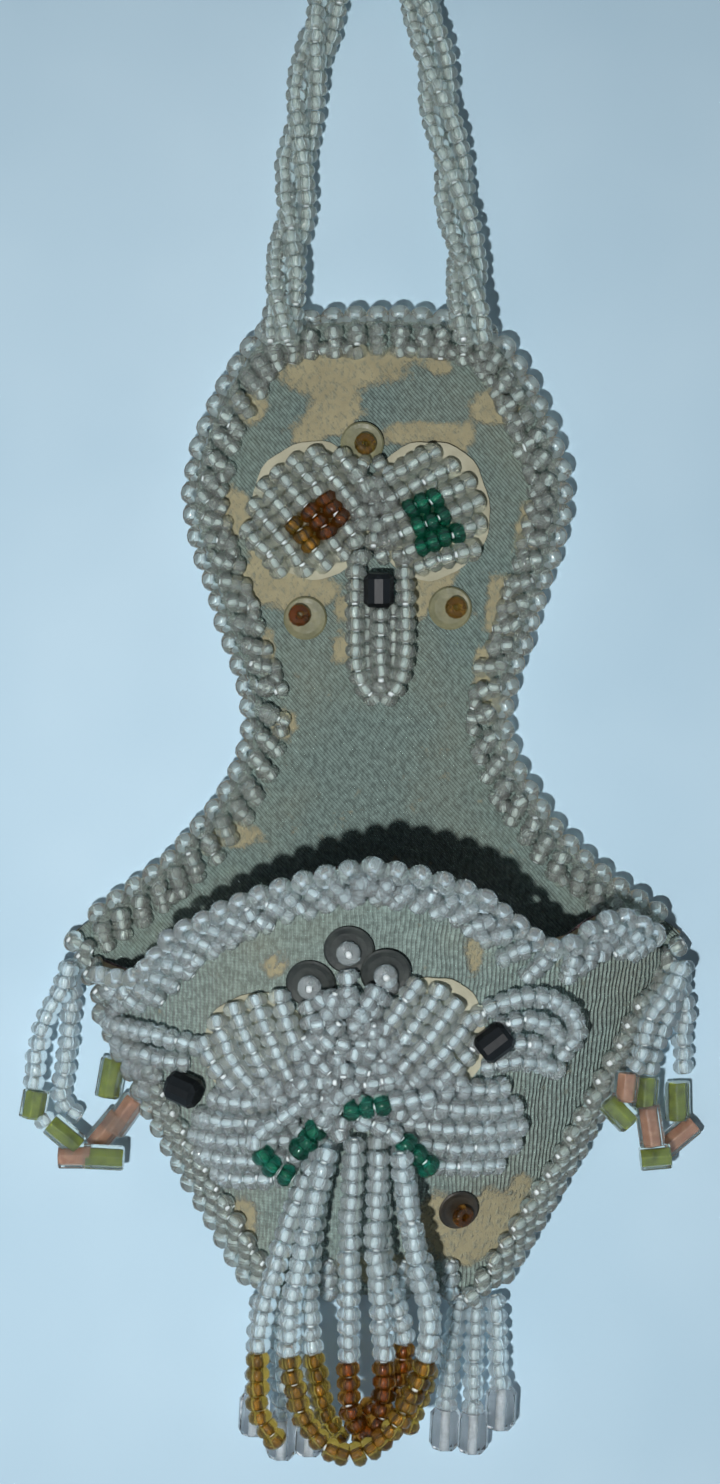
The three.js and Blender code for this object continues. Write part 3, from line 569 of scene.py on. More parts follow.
def shape_done(bm, name, smooth=False):
    bmesh.ops.remove_doubles(bm, verts=bm.verts, dist=1e-5)
    bmesh.ops.recalc_face_normals(bm, faces=bm.faces)
    for face in bm.faces:
        face.smooth = smooth
    mesh = bpy.data.meshes.new(name)
    bm.to_mesh(mesh)
    bm.free()
    return mesh


def prism_shape(name, sides, bevel, smooth=False):
    """A capped prism one unit wide and long, its edges eased."""
    bm = bmesh.new()
    bmesh.ops.create_cone(
        bm, cap_ends=True, segments=sides, radius1=0.5, radius2=0.5, depth=1.0
    )
    if bevel:
        bmesh.ops.bevel(
            bm, geom=bm.edges[:], offset=bevel, segments=1, profile=0.5, affect="EDGES", material=-1
        )
    return shape_done(bm, name, smooth)


SHAPES = {}


def make_shapes():
    SHAPES["bead"] = turned_shape(
        "bead",
        [(0.18, -0.3), (0.36, -0.35), (0.5, -0.14), (0.5, 0.14), (0.36, 0.35), (0.18, 0.3)],
        12,
    )
    SHAPES["thread"] = prism_shape("thread", 6, 0, smooth=True)
    SHAPES["hex"] = prism_shape("hex", 6, 0.05)
    SHAPES["facet"] = prism_shape("facet", 6, 0.14)
    SHAPES["core"] = prism_shape("core", 6, 0.04)
    SHAPES["sequin"] = turned_shape(
        "sequin", [(0.07, -0.5), (0.46, -0.5), (0.5, 0.0), (0.46, 0.5), (0.36, 0.15), (0.07, 0.0)], 32, smooth=False
    )


class Kit:
    """Shapes gathered into one piece, each with its own finish."""

    def __init__(self, name, seed=1, plain="clear_glass"):
        self.name = name
        self.plain = plain
        self.bm = bmesh.new()
        self.used = []
        self.random = random.Random(seed)

    def finish_index(self, finish):
        if finish not in self.used:
            self.used.append(finish)
        return self.used.index(finish)

    def put(self, shape, matrix, finish):
        copy = SHAPES[shape].copy()
        copy.transform(matrix)
        copy.polygons.foreach_set("material_index", [self.finish_index(finish)] * len(copy.polygons))
        self.bm.from_mesh(copy)
        bpy.data.meshes.remove(copy)

    def lie(self, place, axis, width, length, roll=0.0):
        turn = Vector(axis).to_track_quat("Z", "Y").to_matrix().to_4x4()
        size = Matrix.Diagonal((width, width, length, 1))
        return Matrix.Translation(place) @ turn @ Matrix.Rotation(roll, 4, "Z") @ size

    def bead(self, place, axis, finish=None, width=None, pitch=None, thread=True):
        """One seed bead with the thread in its bore, a little out of line."""
        b = beads()
        finish = finish or self.plain
        width = width or b.bead_diameter / MM
        pitch = pitch or b.bead_pitch / MM
        loose = b.unevenness
        draw = self.random
        own = width * (1 + loose * draw.uniform(-0.05, 0.04))
        tilt = Vector([draw.uniform(-0.19, 0.19) * loose for _ in range(3)])
        axis = (Vector(axis) + tilt).normalized()
        place = Vector(place) + Vector([draw.uniform(-0.14, 0.14) * loose for _ in range(3)])
        squat = pitch / 0.72 * (1 + loose * draw.uniform(-0.05, 0.05))
        self.put("bead", self.lie(place, axis, own, squat, draw.uniform(0, 1)), finish)
        if thread:
            self.put("thread", self.lie(place, axis, 0.28 * width, 1.02 * pitch), "thread")

    def string(self, line, finish=None, width=None, pitch=None):
        """Beads strung along a line. finish may be a function of (place, share)."""
        pitch = pitch or beads().bead_pitch / MM
        for place, along, share in spaced(line, pitch):
            kind = finish(place, share) if callable(finish) else finish
            self.bead(place, along, kind, width, pitch)

    def object(self, body, *nodes, slot=None):
        """The finished piece in metres, riding on its body in the place of its nodes."""
        mesh = bpy.data.meshes.new(self.name)
        self.bm.to_mesh(mesh)
        self.bm.free()
        mesh.transform(Matrix.Scale(MM, 4))
        return settle(mesh, self.name, self.used, body, nodes, slot)


def settle(mesh, name, finish_names, body, nodes, slot):
    piece = bpy.data.objects.new(name, mesh)
    for finish in finish_names:
        mesh.materials.append(FINISH[finish])
    bpy.context.scene.collection.objects.link(piece)
    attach(piece, body)
    if nodes:
        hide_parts(*nodes)
    return piece


def grid_piece(name, across, down, place_at, thickness, finish, worn_at=None):
    """A sheet shaped by place_at(u, v), u and v from 0 to 1, with its wear kept on its points."""
    bm = bmesh.new()
    bmesh.ops.create_grid(bm, x_segments=across, y_segments=down, size=0.5)
    wear = bm.verts.layers.float.new("worn")
    for vert in bm.verts:
        u, v = vert.co.x + 0.5, 0.5 - vert.co.y
        vert.co = place_at(u, v)
        if worn_at:
            vert[wear] = worn_at(vert.co)
    area = sum(face.calc_area() for face in bm.faces)
    bmesh.ops.recalc_face_normals(bm, faces=bm.faces)
    front = sum((face.normal.y for face in bm.faces), 0.0)
    if front > 0:
        bmesh.ops.reverse_faces(bm, faces=bm.faces)
    bm.normal_update()
    faces, rim = bm.faces[:], [edge.link_loops[0] for edge in bm.edges if edge.is_boundary]
    rim = [(loop.vert, loop.link_loop_next.vert) for loop in rim]
    under = {}
    for vert in bm.verts[:]:
        under[vert] = bm.verts.new(vert.co - vert.normal * thickness)
        under[vert][wear] = vert[wear]
    for face in faces:
        bm.faces.new([under[vert] for vert in reversed(face.verts)])
    for a, b in rim:
        bm.faces.new((b, a, under[a], under[b]))
    for face in bm.faces:
        face.smooth = True
    mesh = bpy.data.meshes.new(name)
    bm.to_mesh(mesh)
    bm.free()
    mesh.transform(Matrix.Scale(MM, 4))
    mesh["flat_area"] = area * MM * MM
    return mesh


# ---- pieces


class POCKET_OT_camera(bpy.types.Operator):
    """Adds the camera square to the wall, where the reference view was taken"""

    bl_idname = "pocket.camera"
    bl_label = "Camera"

    def execute(self, context):
        data = bpy.data.cameras.new("camera")
        data.sensor_fit = "VERTICAL"
        data.sensor_height = 36.0
        data.lens = 18.0 / (126.15 / 400.0)
        data.clip_start = 0.01
        camera = bpy.data.objects.new("camera", data)
        camera.location = (-0.00255, -0.4, -0.1309)
        camera.rotation_euler = (math.pi / 2, 0, 0)
        context.scene.collection.objects.link(camera)
        context.scene.camera = camera
        return {"FINISHED"}


class POCKET_OT_strap(bpy.types.Operator):
    """Strings the three bead strands that are twisted into the hanging strap"""

    bl_idname = "pocket.strap"
    bl_label = "Hanging strap"

    def execute(self, context):
        centre = thread_curve(STRAP_CENTRE, 40)
        for strand in range(3):
            points = []
            for place, along, share in spaced(centre, count=STRAP_STEPS + 1, ends=True):
                turn = 2 * math.pi * (STRAP_TWISTS * share + strand / 3)
                side = Vector((-along.z, 0, along.x)).normalized()
                swing = Vector((0, STRAP_TWIST_RADIUS * math.sin(turn), 0))
                points.append(place + side * STRAP_TWIST_RADIUS * math.cos(turn) + swing)
            line = thread_curve(points, 10)
            kit = Kit(f"strap_strand_{strand + 1}_beads", 10 + strand, "grey_glass")
            kit.string(line, width=3.5, pitch=2.2)
            piece = kit.object("pocket", f"strap_strand_{strand + 1}", slot="clear_glass")
            path = [p * MM for p in line]
            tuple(path[0])
            length_of(path)
        return {"FINISHED"}


BACK_WORN = [
    (-5, -67.1, 7.7, 2.7), (0.5, -65.6, 6, 1.5), (-10.4, -69, 3, 2.4), (-6.8, -72.6, 3.4, 4.5), (-7.7, -75.8, 4, 2),
    (-10.9, -78.1, 3, 1.3), (8.7, -78.1, 7, 1.3), (13.7, -79.4, 2.5, 2), (20.5, -74, 3.6, 2.2), (11, -66.7, 1.6, 1.4),
    (-21.4, -73.5, 2.2, 2), (-24.1, -91.7, 2.2, 3), (-21.8, -104.5, 1.4, 3), (-14.5, -104.5, 5.5, 3),
    (-18.6, -100.4, 2.4, 2.6), (-9.5, -105.4, 2.5, 2), (-5.4, -108.1, 1.4, 2), (-5.4, -115, 1.4, 1.8),
    (8.2, -104, 2.5, 1.6), (10.5, -102.7, 3, 1.2), (7.8, -107.7, 1.2, 2), (26, -95, 1.4, 3.4), (21.9, -108.1, 2.2, 4.5),
    (18.3, -118.2, 1.4, 3), (23.7, -105.4, 1.5, 2), (-18.2, -115, 0.9, 3), (-15.6, -128, 1.6, 2), (-24, -147, 4, 1.6),
    (20, -124, 1.4, 3),
]
FRONT_WORN = [
    (15.5, -164.5, 0.9, 2.8), (-16.6, -167, 1.6, 1), (20, -210.5, 6, 3.6), (24.4, -205.6, 1.6, 2), (15, -215, 5, 3),
    (10.5, -211, 2.6, 3.6), (-22.4, -211.5, 1.8, 3), (-42, -171, 4, 1.4), (0, -219, 5, 2),
]


def spots(places, x, z):
    """How worn the cloth is at a place: 0 for sound cloth, and up to about 0.75 inside a worn spot."""
    most = 0.0
    for cx, cz, rx, rz in places:
        far = math.hypot((x - cx) / rx, (z - cz) / rz)
        most = max(most, 0.6 * clamp(1.75 - far))
    return most


class POCKET_OT_back_panel(bpy.types.Operator):
    """Covers the hourglass back with worn twill, lines it, and finishes its card"""

    bl_idname = "pocket.back_panel"
    bl_label = "Back panel"

    def execute(self, context):
        outline = head_outline(RIM_INSET)
        steps = (len(outline) - 1) // 13
        left, top, right = outline[: 6 * steps + 1][::-1], outline[6 * steps : 7 * steps + 1], outline[7 * steps :]
        bottom = BOTTOM_Z + RIM_INSET
        for i in range(1, 25):
            z = lerp(HIP_Z, bottom, i / 24)
            left.append(Vector((CENTRE_X - side_half(z, RIM_INSET), z)))
            right.append(Vector((CENTRE_X + side_half(z, RIM_INSET), z)))
        across, down = 56, 100
        rows_left = [p for p, _, _ in spaced(left, count=down + 1, ends=True)]
        rows_right = [p for p, _, _ in spaced(right, count=down + 1, ends=True)]
        columns = [p for p, _, _ in spaced(top, count=across + 1, ends=True)]

        def place_at(front_y, wave):
            def place(u, v):
                a, b = rows_left[round(v * down)], rows_right[round(v * down)]
                t = columns[round(u * across)]
                straight = rows_left[0].lerp(rows_right[0], u)
                flat = a.lerp(b, u) + (t - straight) * (1 - v)
                lift = wave * math.sin(flat.x * 0.31 + flat.y * 0.17) * math.sin(flat.y * 0.23)
                return Vector((flat.x, front_y + lift, flat.y))

            return place

        def worn_at(co):
            return spots(BACK_WORN, co.x, co.z)

        for name, y, wave, node, finish, worn in (
            ("back_twill", BACK_FACE_Y + 0.08, 0.07, "back_cover", "back_cloth", worn_at),
            ("back_lining_cloth", 3.58, 0.05, "back_lining", "maroon_lining", None),
        ):
            mesh = grid_piece(name, across, down, place_at(y, wave), 0.34, finish, worn)
            slot = "back_cloth" if worn else "lining"
            piece = settle(mesh, name, [finish], "pocket", [node], slot)
        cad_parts["back_board"].data.materials.clear()
        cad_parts["back_board"].data.materials.append(FINISH["tan_card"])
        return {"FINISHED"}


class POCKET_OT_front_panel(bpy.types.Operator):
    """Covers the bowed front with ribbed cloth, lines it, and finishes its card"""

    bl_idname = "pocket.front_panel"
    bl_label = "Front panel"

    def execute(self, context):
        across, down = 72, 44

        def place_at(lift, wave):
            def place(u, v):
                w = 2 * u - 1
                x, z = front_plan(0.35 * w + 0.65 * math.sin(w * math.pi / 2), v)
                ripple = wave * math.sin(x * 0.27 + z * 0.1) * math.sin(z * 0.21)
                return on_bow(x, z, lift + ripple)

            return place

        def worn_at(co):
            return spots(FRONT_WORN, co.x, co.z)

        for name, lift, wave, node, finish, worn in (
            ("front_ribbed_cloth", 2.52, 0.06, "front_cover", "front_cloth", worn_at),
            ("front_lining_cloth", 0.42, 0.04, "front_lining", "maroon_lining", None),
        ):
            mesh = grid_piece(name, across, down, place_at(lift, wave), 0.34, finish, worn)
            slot = "front_cloth" if worn else "lining"
            piece = settle(mesh, name, [finish], "pocket", [node], slot)
        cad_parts["front_board"].data.materials.clear()
        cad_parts["front_board"].data.materials.append(FINISH["tan_card"])
        return {"FINISHED"}


def edge_stitch(kit, rim, out, up, along, lean, reach=4.9, rise=1.5, drop=0.6):
    """One stitch of edging: a large bead over the rim, and smaller ones on a slant inwards."""
    draw = kit.random.uniform
    inward = (-out + along * (lean + draw(-0.12, 0.12))).normalized()
    kit.bead(rim + up * (rise + draw(-0.1, 0.1)), inward + up * 1.1, width=4.2, pitch=2.75, thread=False)
    for share in (0.46, 0.78, 1.08):
        far = 0.2 + reach * share + draw(-0.25, 0.25)
        height = rise + 0.5 - drop * share * share * 1.8 + draw(-0.25, 0.35)
        side = along * draw(-0.5, 0.5) + up * draw(-0.25, 0.25)
        seen = kit.random.random() < 0.75
        kit.bead(rim + inward * far + up * height, inward - up * 0.3 * share + side, None, 3.45, 2.1, seen)
    if kit.random.random() < 0.5:
        side = along * 1.8
        kit.bead(rim + inward * (reach + 0.3) + side + up * 1.0, inward * 0.4 + along, None, 3.0, 2.0)


class POCKET_OT_edging(bpy.types.Operator):
    """Sews the bead edging round the back, along the mouth, down the sides and along the bottom"""

    bl_idname = "pocket.edging"
    bl_label = "Bead edging"

    def execute(self, context):
        pitch = beads().stitch_pitch / MM
        kit = Kit("back_edging", 31, "grey_glass")
        outline = head_outline(RIM_INSET)
        up = Vector((0, -1, 0))
        for place, along, share in spaced(outline, pitch):
            if 3.4 / length_of(outline) < share < 1 - 3.4 / length_of(outline):
                out = Vector((-along.y, 0, along.x))
                down = Vector((along.x, 0, along.y)) * (-1 if share < 0.5 else 1)
                steep = min(1.0, abs(share - 0.5) * 6)
                rim = Vector((place.x, BACK_FACE_Y, place.y)) + out * 0.05
                edge_stitch(kit, rim, out, up, down, 0.55 * steep)
        kit.object("pocket", "back_edge_beading", slot="clear_glass")

        kit = Kit("mouth_edging", 32)
        rim_line = [on_front(*front_plan(lerp(-0.93, 0.93, i / 120), 0), 0.15) for i in range(121)]
        for place, along, share in spaced(rim_line, pitch):
            up = bow_normal(place.x, place.z)
            out = along.cross(up).normalized()
            if out.z < 0:
                out = -out
            edge_stitch(kit, place, out, up, along if share < 0.5 else -along, 0.5, rise=1.4)
        kit.object("pocket", "mouth_edge_beading", slot="clear_glass")

        for side, hand, drop in (("left", -1, 10.4), ("right", 1, 5.5)):
            kit = Kit(f"side_edging_{side}", 33 + hand, "grey_glass")
            top, bottom = HIP_Z - CORNER_DROP - drop + 1.2, BOTTOM_Z + RIM_INSET + 0.8
            seam = [
                Vector((CENTRE_X + hand * side_half(lerp(top, bottom, i / 30), 0), 0, lerp(top, bottom, i / 30)))
                for i in range(31)
            ]
            for z in (top + 1.6, top + 4.6, top + 7.6, top + 10.6):
                if z < HIP_Z + 1:
                    x = CENTRE_X + hand * (side_half(z, 0) - 1.7)
                    kit.bead(Vector((x, BACK_FACE_Y - 1.6, z)), (hand * 0.8, -0.5, 0.5), width=3.7, pitch=2.4)
                    kit.bead(Vector((x - hand * 2.2, BACK_FACE_Y - 1.9, z - 1.4)), (hand, 0, 0.4), width=3.3, pitch=2.2)
            for place, along, share in spaced(seam, 0.92 * pitch):
                z = place.z
                outer = Vector((place.x - (1.45 if hand > 0 else -0.6), FOOT_Y - 1.9, z))
                half = side_half(z, FOOT_INSET)
                seat = on_front(CENTRE_X + hand * (half - 0.6), z, 1.5)
                flank = on_front(CENTRE_X + hand * (half - 3.0), z, 1.4)
                seat.z, flank.z = z - 1.2, z - 3.2
                line = thread_curve([outer, seat, flank], 8)
                for k, (at, direction, _) in enumerate(spaced(line, count=4, ends=True)):
                    kit.bead(at, direction, width=4.1 if k == 0 else 3.4, pitch=2.6 if k == 0 else 2.3, thread=k > 0)
            kit.object("pocket", f"side_seam_beading_{side}", slot="clear_glass")

        kit = Kit("bottom_edging", 35)
        half = BOTTOM_HALF - FOOT_INSET - 1.8
        count = round(2 * half / pitch)
        for i in range(count):
            x = CENTRE_X + lerp(-half, half, (i + 0.5) / count)
            base = BOTTOM_Z + RIM_INSET
            for depth, lift, width in ((-0.1, 1.4, 3.4), (2.3, 1.75, 3.1), (4.6, 1.3, 3.1)):
                at = on_front(x, base + max(depth, 0), lift)
                at.z = base + depth
                kit.bead(at, (0.25, -0.2, 1), width=width, pitch=2.25)
        kit.object("pocket", "bottom_edge_beading", slot="clear_glass")
        return {"FINISHED"}


def row(kit, surface, places, base=1.35, rise=2.1, finish_at=None, width=None, steep=0.75):
    """A row of beads over flat places (x, z): it arches up from the surface and down again."""
    flat = thread_curve([(x, 0, z) for x, z in places], 12) if len(places) > 2 else None
    flat = [p for p, _, _ in spaced(flat or [Vector((x, 0, z)) for x, z in places], count=25, ends=True)]
    line = []
    for i, spot in enumerate(flat):
        share = (1 - math.cos(math.pi * i / 24)) / 2
        at = flat[0].lerp(flat[-1], share) if len(places) == 2 else spot
        lift = base + rise * max(0.0, math.sin(math.pi * i / 24)) ** steep
        line.append(surface(at.x, at.z, lift))
    for place, direction, share in spaced(line, beads().bead_pitch / MM):
        kind = finish_at(place, share) if finish_at else None
        kit.bead(place, direction, kind, width)


def lobe(kit, surface, x, z, tilt, length, width, colour_at=None, base=1.35, rise=2.1, blunt=0.97, fan=0.0):
    """A raised oval of bead rows that lie side by side. fan spreads the rows towards one end."""
    rows = max(2, round(width / (beads().row_pitch / MM)))
    tilt = math.radians(tilt)
    along = Vector((math.cos(tilt), math.sin(tilt)))
    across = Vector((-along.y, along.x))
    for k in range(rows):
        v = (k + 0.5) / rows * 2 - 1
        reach = length / 2 * math.sqrt(1 - (blunt * v) ** 2) + kit.random.uniform(-0.4, 0.4)
        crown = rise * (1 - 0.25 * v * v) + kit.random.uniform(-0.15, 0.15)
        ends = []
        for u in (-1, 0, 1):
            spot = Vector((x, z)) + along * u * reach + across * (v * width / 2 * (1 + fan * u))
            ends.append((spot.x, spot.y))

        def finish_at(place, share, k=k):
            if colour_at:
                return colour_at(Vector((place.x - x, place.z - z)).dot(along), k, rows)

        row(kit, surface, ends, base, crown, finish_at, 3.85)


def jumble(kit, surface, x, z, reach_x, reach_z, lift, gap=2.9):
    """Beads lying every way inside an oval, which fill the middle of a motif."""
    draw = kit.random
    for i in range(-int(reach_z / gap) - 1, int(reach_z / gap) + 2):
        for k in range(-int(reach_x / gap) - 1, int(reach_x / gap) + 2):
            dx = (k + 0.5 * (i % 2)) * gap + draw.uniform(-0.5, 0.5)
            dz = i * gap * 0.9 + draw.uniform(-0.5, 0.5)
            turn = draw.uniform(0, math.pi)
            far = math.hypot(dx / reach_x, dz / reach_z)
            if far > 1:
                continue
            at = surface(x + dx, z + dz, lift - 0.9 * far * far + draw.uniform(-0.2, 0.3))
            normal = at - surface(x + dx, z + dz, 0)
            kit.bead(at, Vector((math.cos(turn), 0, math.sin(turn))) + normal * draw.uniform(-0.1, 0.15))


def paper_oval(name, surface, ovals, node, lift=0.28, seed=3):
    """Thin cream paper cut to an oval, its rim a little uneven and curled."""
    whole = bmesh.new()
    draw = random.Random(seed)
    for x, z, width, height in ovals:
        bm = bmesh.new()
        bmesh.ops.create_circle(bm, cap_ends=True, segments=40, radius=1.0)
        bmesh.ops.poke(bm, faces=bm.faces[:])
        for _ in range(2):
            bmesh.ops.subdivide_edges(bm, edges=bm.edges[:], cuts=1, use_grid_fill=True)
        phase = draw.uniform(0, 6)
        for vert in bm.verts:
            turn, far = math.atan2(vert.co.y, vert.co.x), math.hypot(vert.co.x, vert.co.y)
            rim = 1 + 0.018 * math.sin(5 * turn + phase) + 0.01 * math.sin(11 * turn)
            curl = 0.35 * clamp((far - 0.8) * 5) * (0.5 + 0.5 * math.sin(3 * turn + phase))
            at = surface(x + far * rim * width / 2 * math.cos(turn), z + far * rim * height / 2 * math.sin(turn), lift + curl)
            vert.co = at
        bmesh.ops.recalc_face_normals(bm, faces=bm.faces)
        if sum(face.normal.y for face in bm.faces) > 0:
            bmesh.ops.reverse_faces(bm, faces=bm.faces)
        bmesh.ops.solidify(bm, geom=bm.faces[:], thickness=0.22)
        part = bpy.data.meshes.new("oval")
        bm.to_mesh(part)
        bm.free()
        whole.from_mesh(part)
        bpy.data.meshes.remove(part)
        lift += 0.25
    mesh = bpy.data.meshes.new(name)
    whole.to_mesh(mesh)
    whole.free()
    mesh.transform(Matrix.Scale(MM, 4))
    return settle(mesh, name, ["cream_paper"], "pocket", [node], "paper")


def faceted(kit, surface, x, z, tilt, lean=0.0, lift=3.6):
    tilt = math.radians(tilt)
    axis = surface(x + math.cos(tilt), z + math.sin(tilt), lift + lean) - surface(x, z, lift)
    kit.put("facet", kit.lie(surface(x, z, lift), axis, 5.9, 5.7), "black_glass")


class POCKET_OT_upper_motif(bpy.types.Operator):
    """Sews the raised two-lobed flower and its stem on the back panel"""

    bl_idname = "pocket.upper_motif"
    bl_label = "Upper flower"

    def execute(self, context):
        ovals = [(-10.8, -91.4, 20.6, 23.6), (9.2, -91.4, 20.8, 23.6)]
        paper_oval("upper_paper", on_back, ovals, "upper_template")

        def amber(along, k, rows):
            if k in (2, 3, 4) and abs(along - 1.8) < 3.3:
                return "gold_glass" if k == 2 else "amber_glass"

        def green(along, k, rows):
            if k in (1, 2, 3) and abs(along + 0.2) < 3.3:
                return "green_glass"

        kit = Kit("upper_lobe_left_beads", 41, "grey_glass")
        lobe(kit, on_back, -11.0, -92.0, -51, 18.5, 23.5, amber)
        kit.object("pocket", "upper_lobe_left", slot="clear_glass")
        kit = Kit("upper_lobe_right_beads", 42, "grey_glass")
        lobe(kit, on_back, 8.8, -92.0, 24, 18.6, 20.0, green, fan=0.08)
        kit.object("pocket", "upper_lobe_right", slot="clear_glass")
        kit = Kit("upper_stem_beads", 43, "grey_glass")
        jumble(kit, on_back, -0.6, -91.5, 4.0, 9.6, 2.4, 2.8)
        for x, foot in ((-1.3, -120.5), (3.1, -120.5)):
            row(kit, on_back, [(x, -107.5), (x, foot)], 1.2, 0.3, width=2.9, steep=0.5)
        row(kit, on_back, [(0.9, -107), (0.9, -121.4)], 1.3, 2.0, steep=0.5)
        for hand in (-1, 1):
            side = [(0.9 + hand * x, z) for x, z in ((4.1, -99.5), (4.2, -109), (4.1, -117), (2.9, -121.4), (0.7, -123.8))]
            row(kit, on_back, side, 1.3, 2.0, steep=0.4)
        kit.object("pocket", "upper_stem", slot="clear_glass")
        kit = Kit("upper_black_facet", 44)
        faceted(kit, on_back, 0.6, -105.2, 90, 0.16)
        kit.object("pocket", "upper_black_bead", slot="black_glass")
        return {"FINISHED"}


LEAF_ROWS = {
    "left": [
        [(-45.0, -176.6), (-40.4, -178.6), (-34.1, -179.6), (-27.6, -181.6)],
        [(-46.0, -179.6), (-41.4, -181.8), (-36.0, -183.2), (-29.8, -184.6)],
        [(-44.6, -183.0), (-40.4, -185.0), (-35.4, -186.6)],
        [(-42.6, -186.2), (-39.0, -188.4), (-35.4, -190.0)],
    ],
    "right": [
        [(16.9, -176.2), (20.9, -173.4), (26.7, -172.4), (31.6, -175.2), (32.9, -179.6), (30.8, -183.2)],
        [(20.6, -177.7), (24.3, -176.3), (28.0, -177.2), (30.2, -180.0)],
        [(20.8, -180.9), (24.6, -180.2), (28.2, -181.6)],
        [(18.6, -184.4), (22.8, -183.3), (27.2, -184.0), (30.4, -185.6)],
    ],
}

# Beads that run out of the flower's middle and end in three green ones
GREEN_RUNS = {
    "front_lobe_lower_left": [
        [(-9.5, -188.5), (-14.5, -192.5), (-18.2, -196.6), (-16.4, -200.4), (-13.0, -203.0)],
        [(-3.6, -186.4), (-7.0, -189.6), (-8.8, -192.9), (-10.4, -195.8), (-12.4, -198.8)],
    ],
    "front_lobe_upper_right": [[(7.6, -188.6), (3.6, -189.2), (-1.1, -190.0), (-5.4, -190.8)]],
    "front_lobe_lower_right": [[(-3.6, -192.2), (0.2, -194.0), (3.0, -196.4), (5.2, -198.8), (7.6, -201.4)]],
}


class POCKET_OT_front_motif(bpy.types.Operator):
    """Sews the raised flower, its leaves and its green beads on the front panel"""

    bl_idname = "pocket.front_motif"
    bl_label = "Front flower"

    def execute(self, context):
        paper_oval("front_paper_left", on_front, [(-18.4, -180.4, 17.4, 19.4)], "front_template_left", seed=4)
        paper_oval("front_paper_right", on_front, [(9.4, -178, 15.6, 20.6)], "front_template_right", seed=5)
        for name, x, z, tilt, length, width, fan, seed in (
            ("front_lobe_upper_left", -16.4, -179.6, -66, 18.5, 19.5, -0.1, 51),
            ("front_lobe_upper_right", 5.2, -177.8, 52, 20.5, 18.5, 0.1, 52),
            ("front_lobe_lower_left", -19.6, -195.0, 2, 17.0, 16.5, 0, 53),
            ("front_lobe_lower_right", 13.6, -192.4, -4, 19.0, 16.5, 0, 54),
        ):
            kit = Kit(name + "_beads", seed)
            lobe(kit, on_front, x, z, tilt, length, width, fan=fan)
            if name.endswith("upper_left"):
                jumble(kit, on_front, -4.6, -181.5, 7.0, 12.0, 4.6, 2.6)
                jumble(kit, on_front, -8, -188, 11, 5.5, 3.0)
            if name.endswith("upper_right"):
                jumble(kit, on_front, 5, -187, 10, 5, 3.0)
            for places in GREEN_RUNS.get(name, []):
                line = thread_curve([on_front(px + 0.9, pz + 2.8, 5.0) for px, pz in places], 8)
                marks = spaced(line, 2.5)
                for i, (place, along, _) in enumerate(marks):
                    green = i >= len(marks) - 3
                    kit.bead(place, along, "green_glass" if green else "clear_glass", 4.0 if green else 3.6, 2.5)
            kit.object("pocket", name, slot="clear_glass")
        for side, seed, shift in (("left", 55, 0.8), ("right", 56, -2.0)):
            kit = Kit(f"front_leaf_{side}_beads", seed)
            for places in LEAF_ROWS[side]:
                row(kit, on_front, [(x + shift, z + 1.8) for x, z in places], 1.3, 1.5, width=3.6, steep=0.5)
            kit.object("pocket", f"front_leaf_{side}", slot="clear_glass")
        for side, x, z, tilt in (("left", -28.8, -186.4, -24), ("right", 17.6, -177.6, 40)):
            kit = Kit(f"leaf_black_facet_{side}", 57)
            faceted(kit, on_front, x, z, tilt)
            kit.object("pocket", f"leaf_black_bead_{side}", slot="black_glass")
        return {"FINISHED"}


def sewn_sequin(kit, surface, x, z, lift, finish, width, bead, shift):
    """A flat sequin held by a bead that stands on its hole."""
    foot = surface(x, z, lift)
    normal = (surface(x, z, lift + 1) - foot).normalized()
    kit.put("sequin", kit.lie(foot, normal, width, 0.4), finish)
    at = surface(x + shift[0], z + shift[1], lift + 1.3)
    kit.bead(at, normal + Vector((0.25, 0, 0.2)), bead, 3.8, 2.1, thread=bead == "clear_glass")


class POCKET_OT_sequins(bpy.types.Operator):
    """Sews on the four sequins with their gold beads, and the three dark ones with their bead runs"""

    bl_idname = "pocket.sequins"
    bl_label = "Sequins"

    def execute(self, context):
        for place, x, z, surface, lift, finish, width, shift in (
            ("top", -2.2, -80.1, on_back, 1.0, "olive_sequin", 7.4, (0.6, -0.2)),
            ("left", -11.9, -109.8, on_back, 0.5, "olive_sequin", 7.4, (-0.9, 0.4)),
            ("right", 12.8, -108.1, on_back, 0.5, "olive_sequin", 7.4, (1.0, 0.0)),
            ("low", 13.2, -208.0, on_front, 0.7, "brown_sequin", 6.9, (0.4, -0.4)),
        ):
            kit = Kit(f"sequin_{place}_disc", 61)
            glass_name = "amber_glass" if place in ("left", "low") else "gold_glass"
            sewn_sequin(kit, surface, x, z, lift, finish, width, glass_name, shift)
            slot = "dark_sequin" if place == "low" else "olive_sequin"
            kit.object("pocket", f"sequin_{place}", f"sequin_{place}_bead", slot=slot)
        for place, x, z, lift in (("top", -4.1, -163.2, 0.7), ("left", -10, -168.9, 0.7), ("right", 1.5, -166.7, 1.3)):
            kit = Kit(f"trefoil_{place}_disc", 62)
            sewn_sequin(kit, on_front, x, z, lift, "dark_sequin", 8.2, "clear_glass", (0, 0))
            run = []
            for share in (0.24, 0.5, 0.75, 1.0):
                px, pz = lerp(x, -4.2, share * 0.75), lerp(z, -172.8, share)
                run.append(on_front(px, pz, lift + 2.1 + 0.8 * share))
            kit.string(thread_curve(run, 8))
            kit.object("pocket", f"trefoil_sequin_{place}", f"trefoil_bead_{place}", slot="dark_sequin")
        return {"FINISHED"}


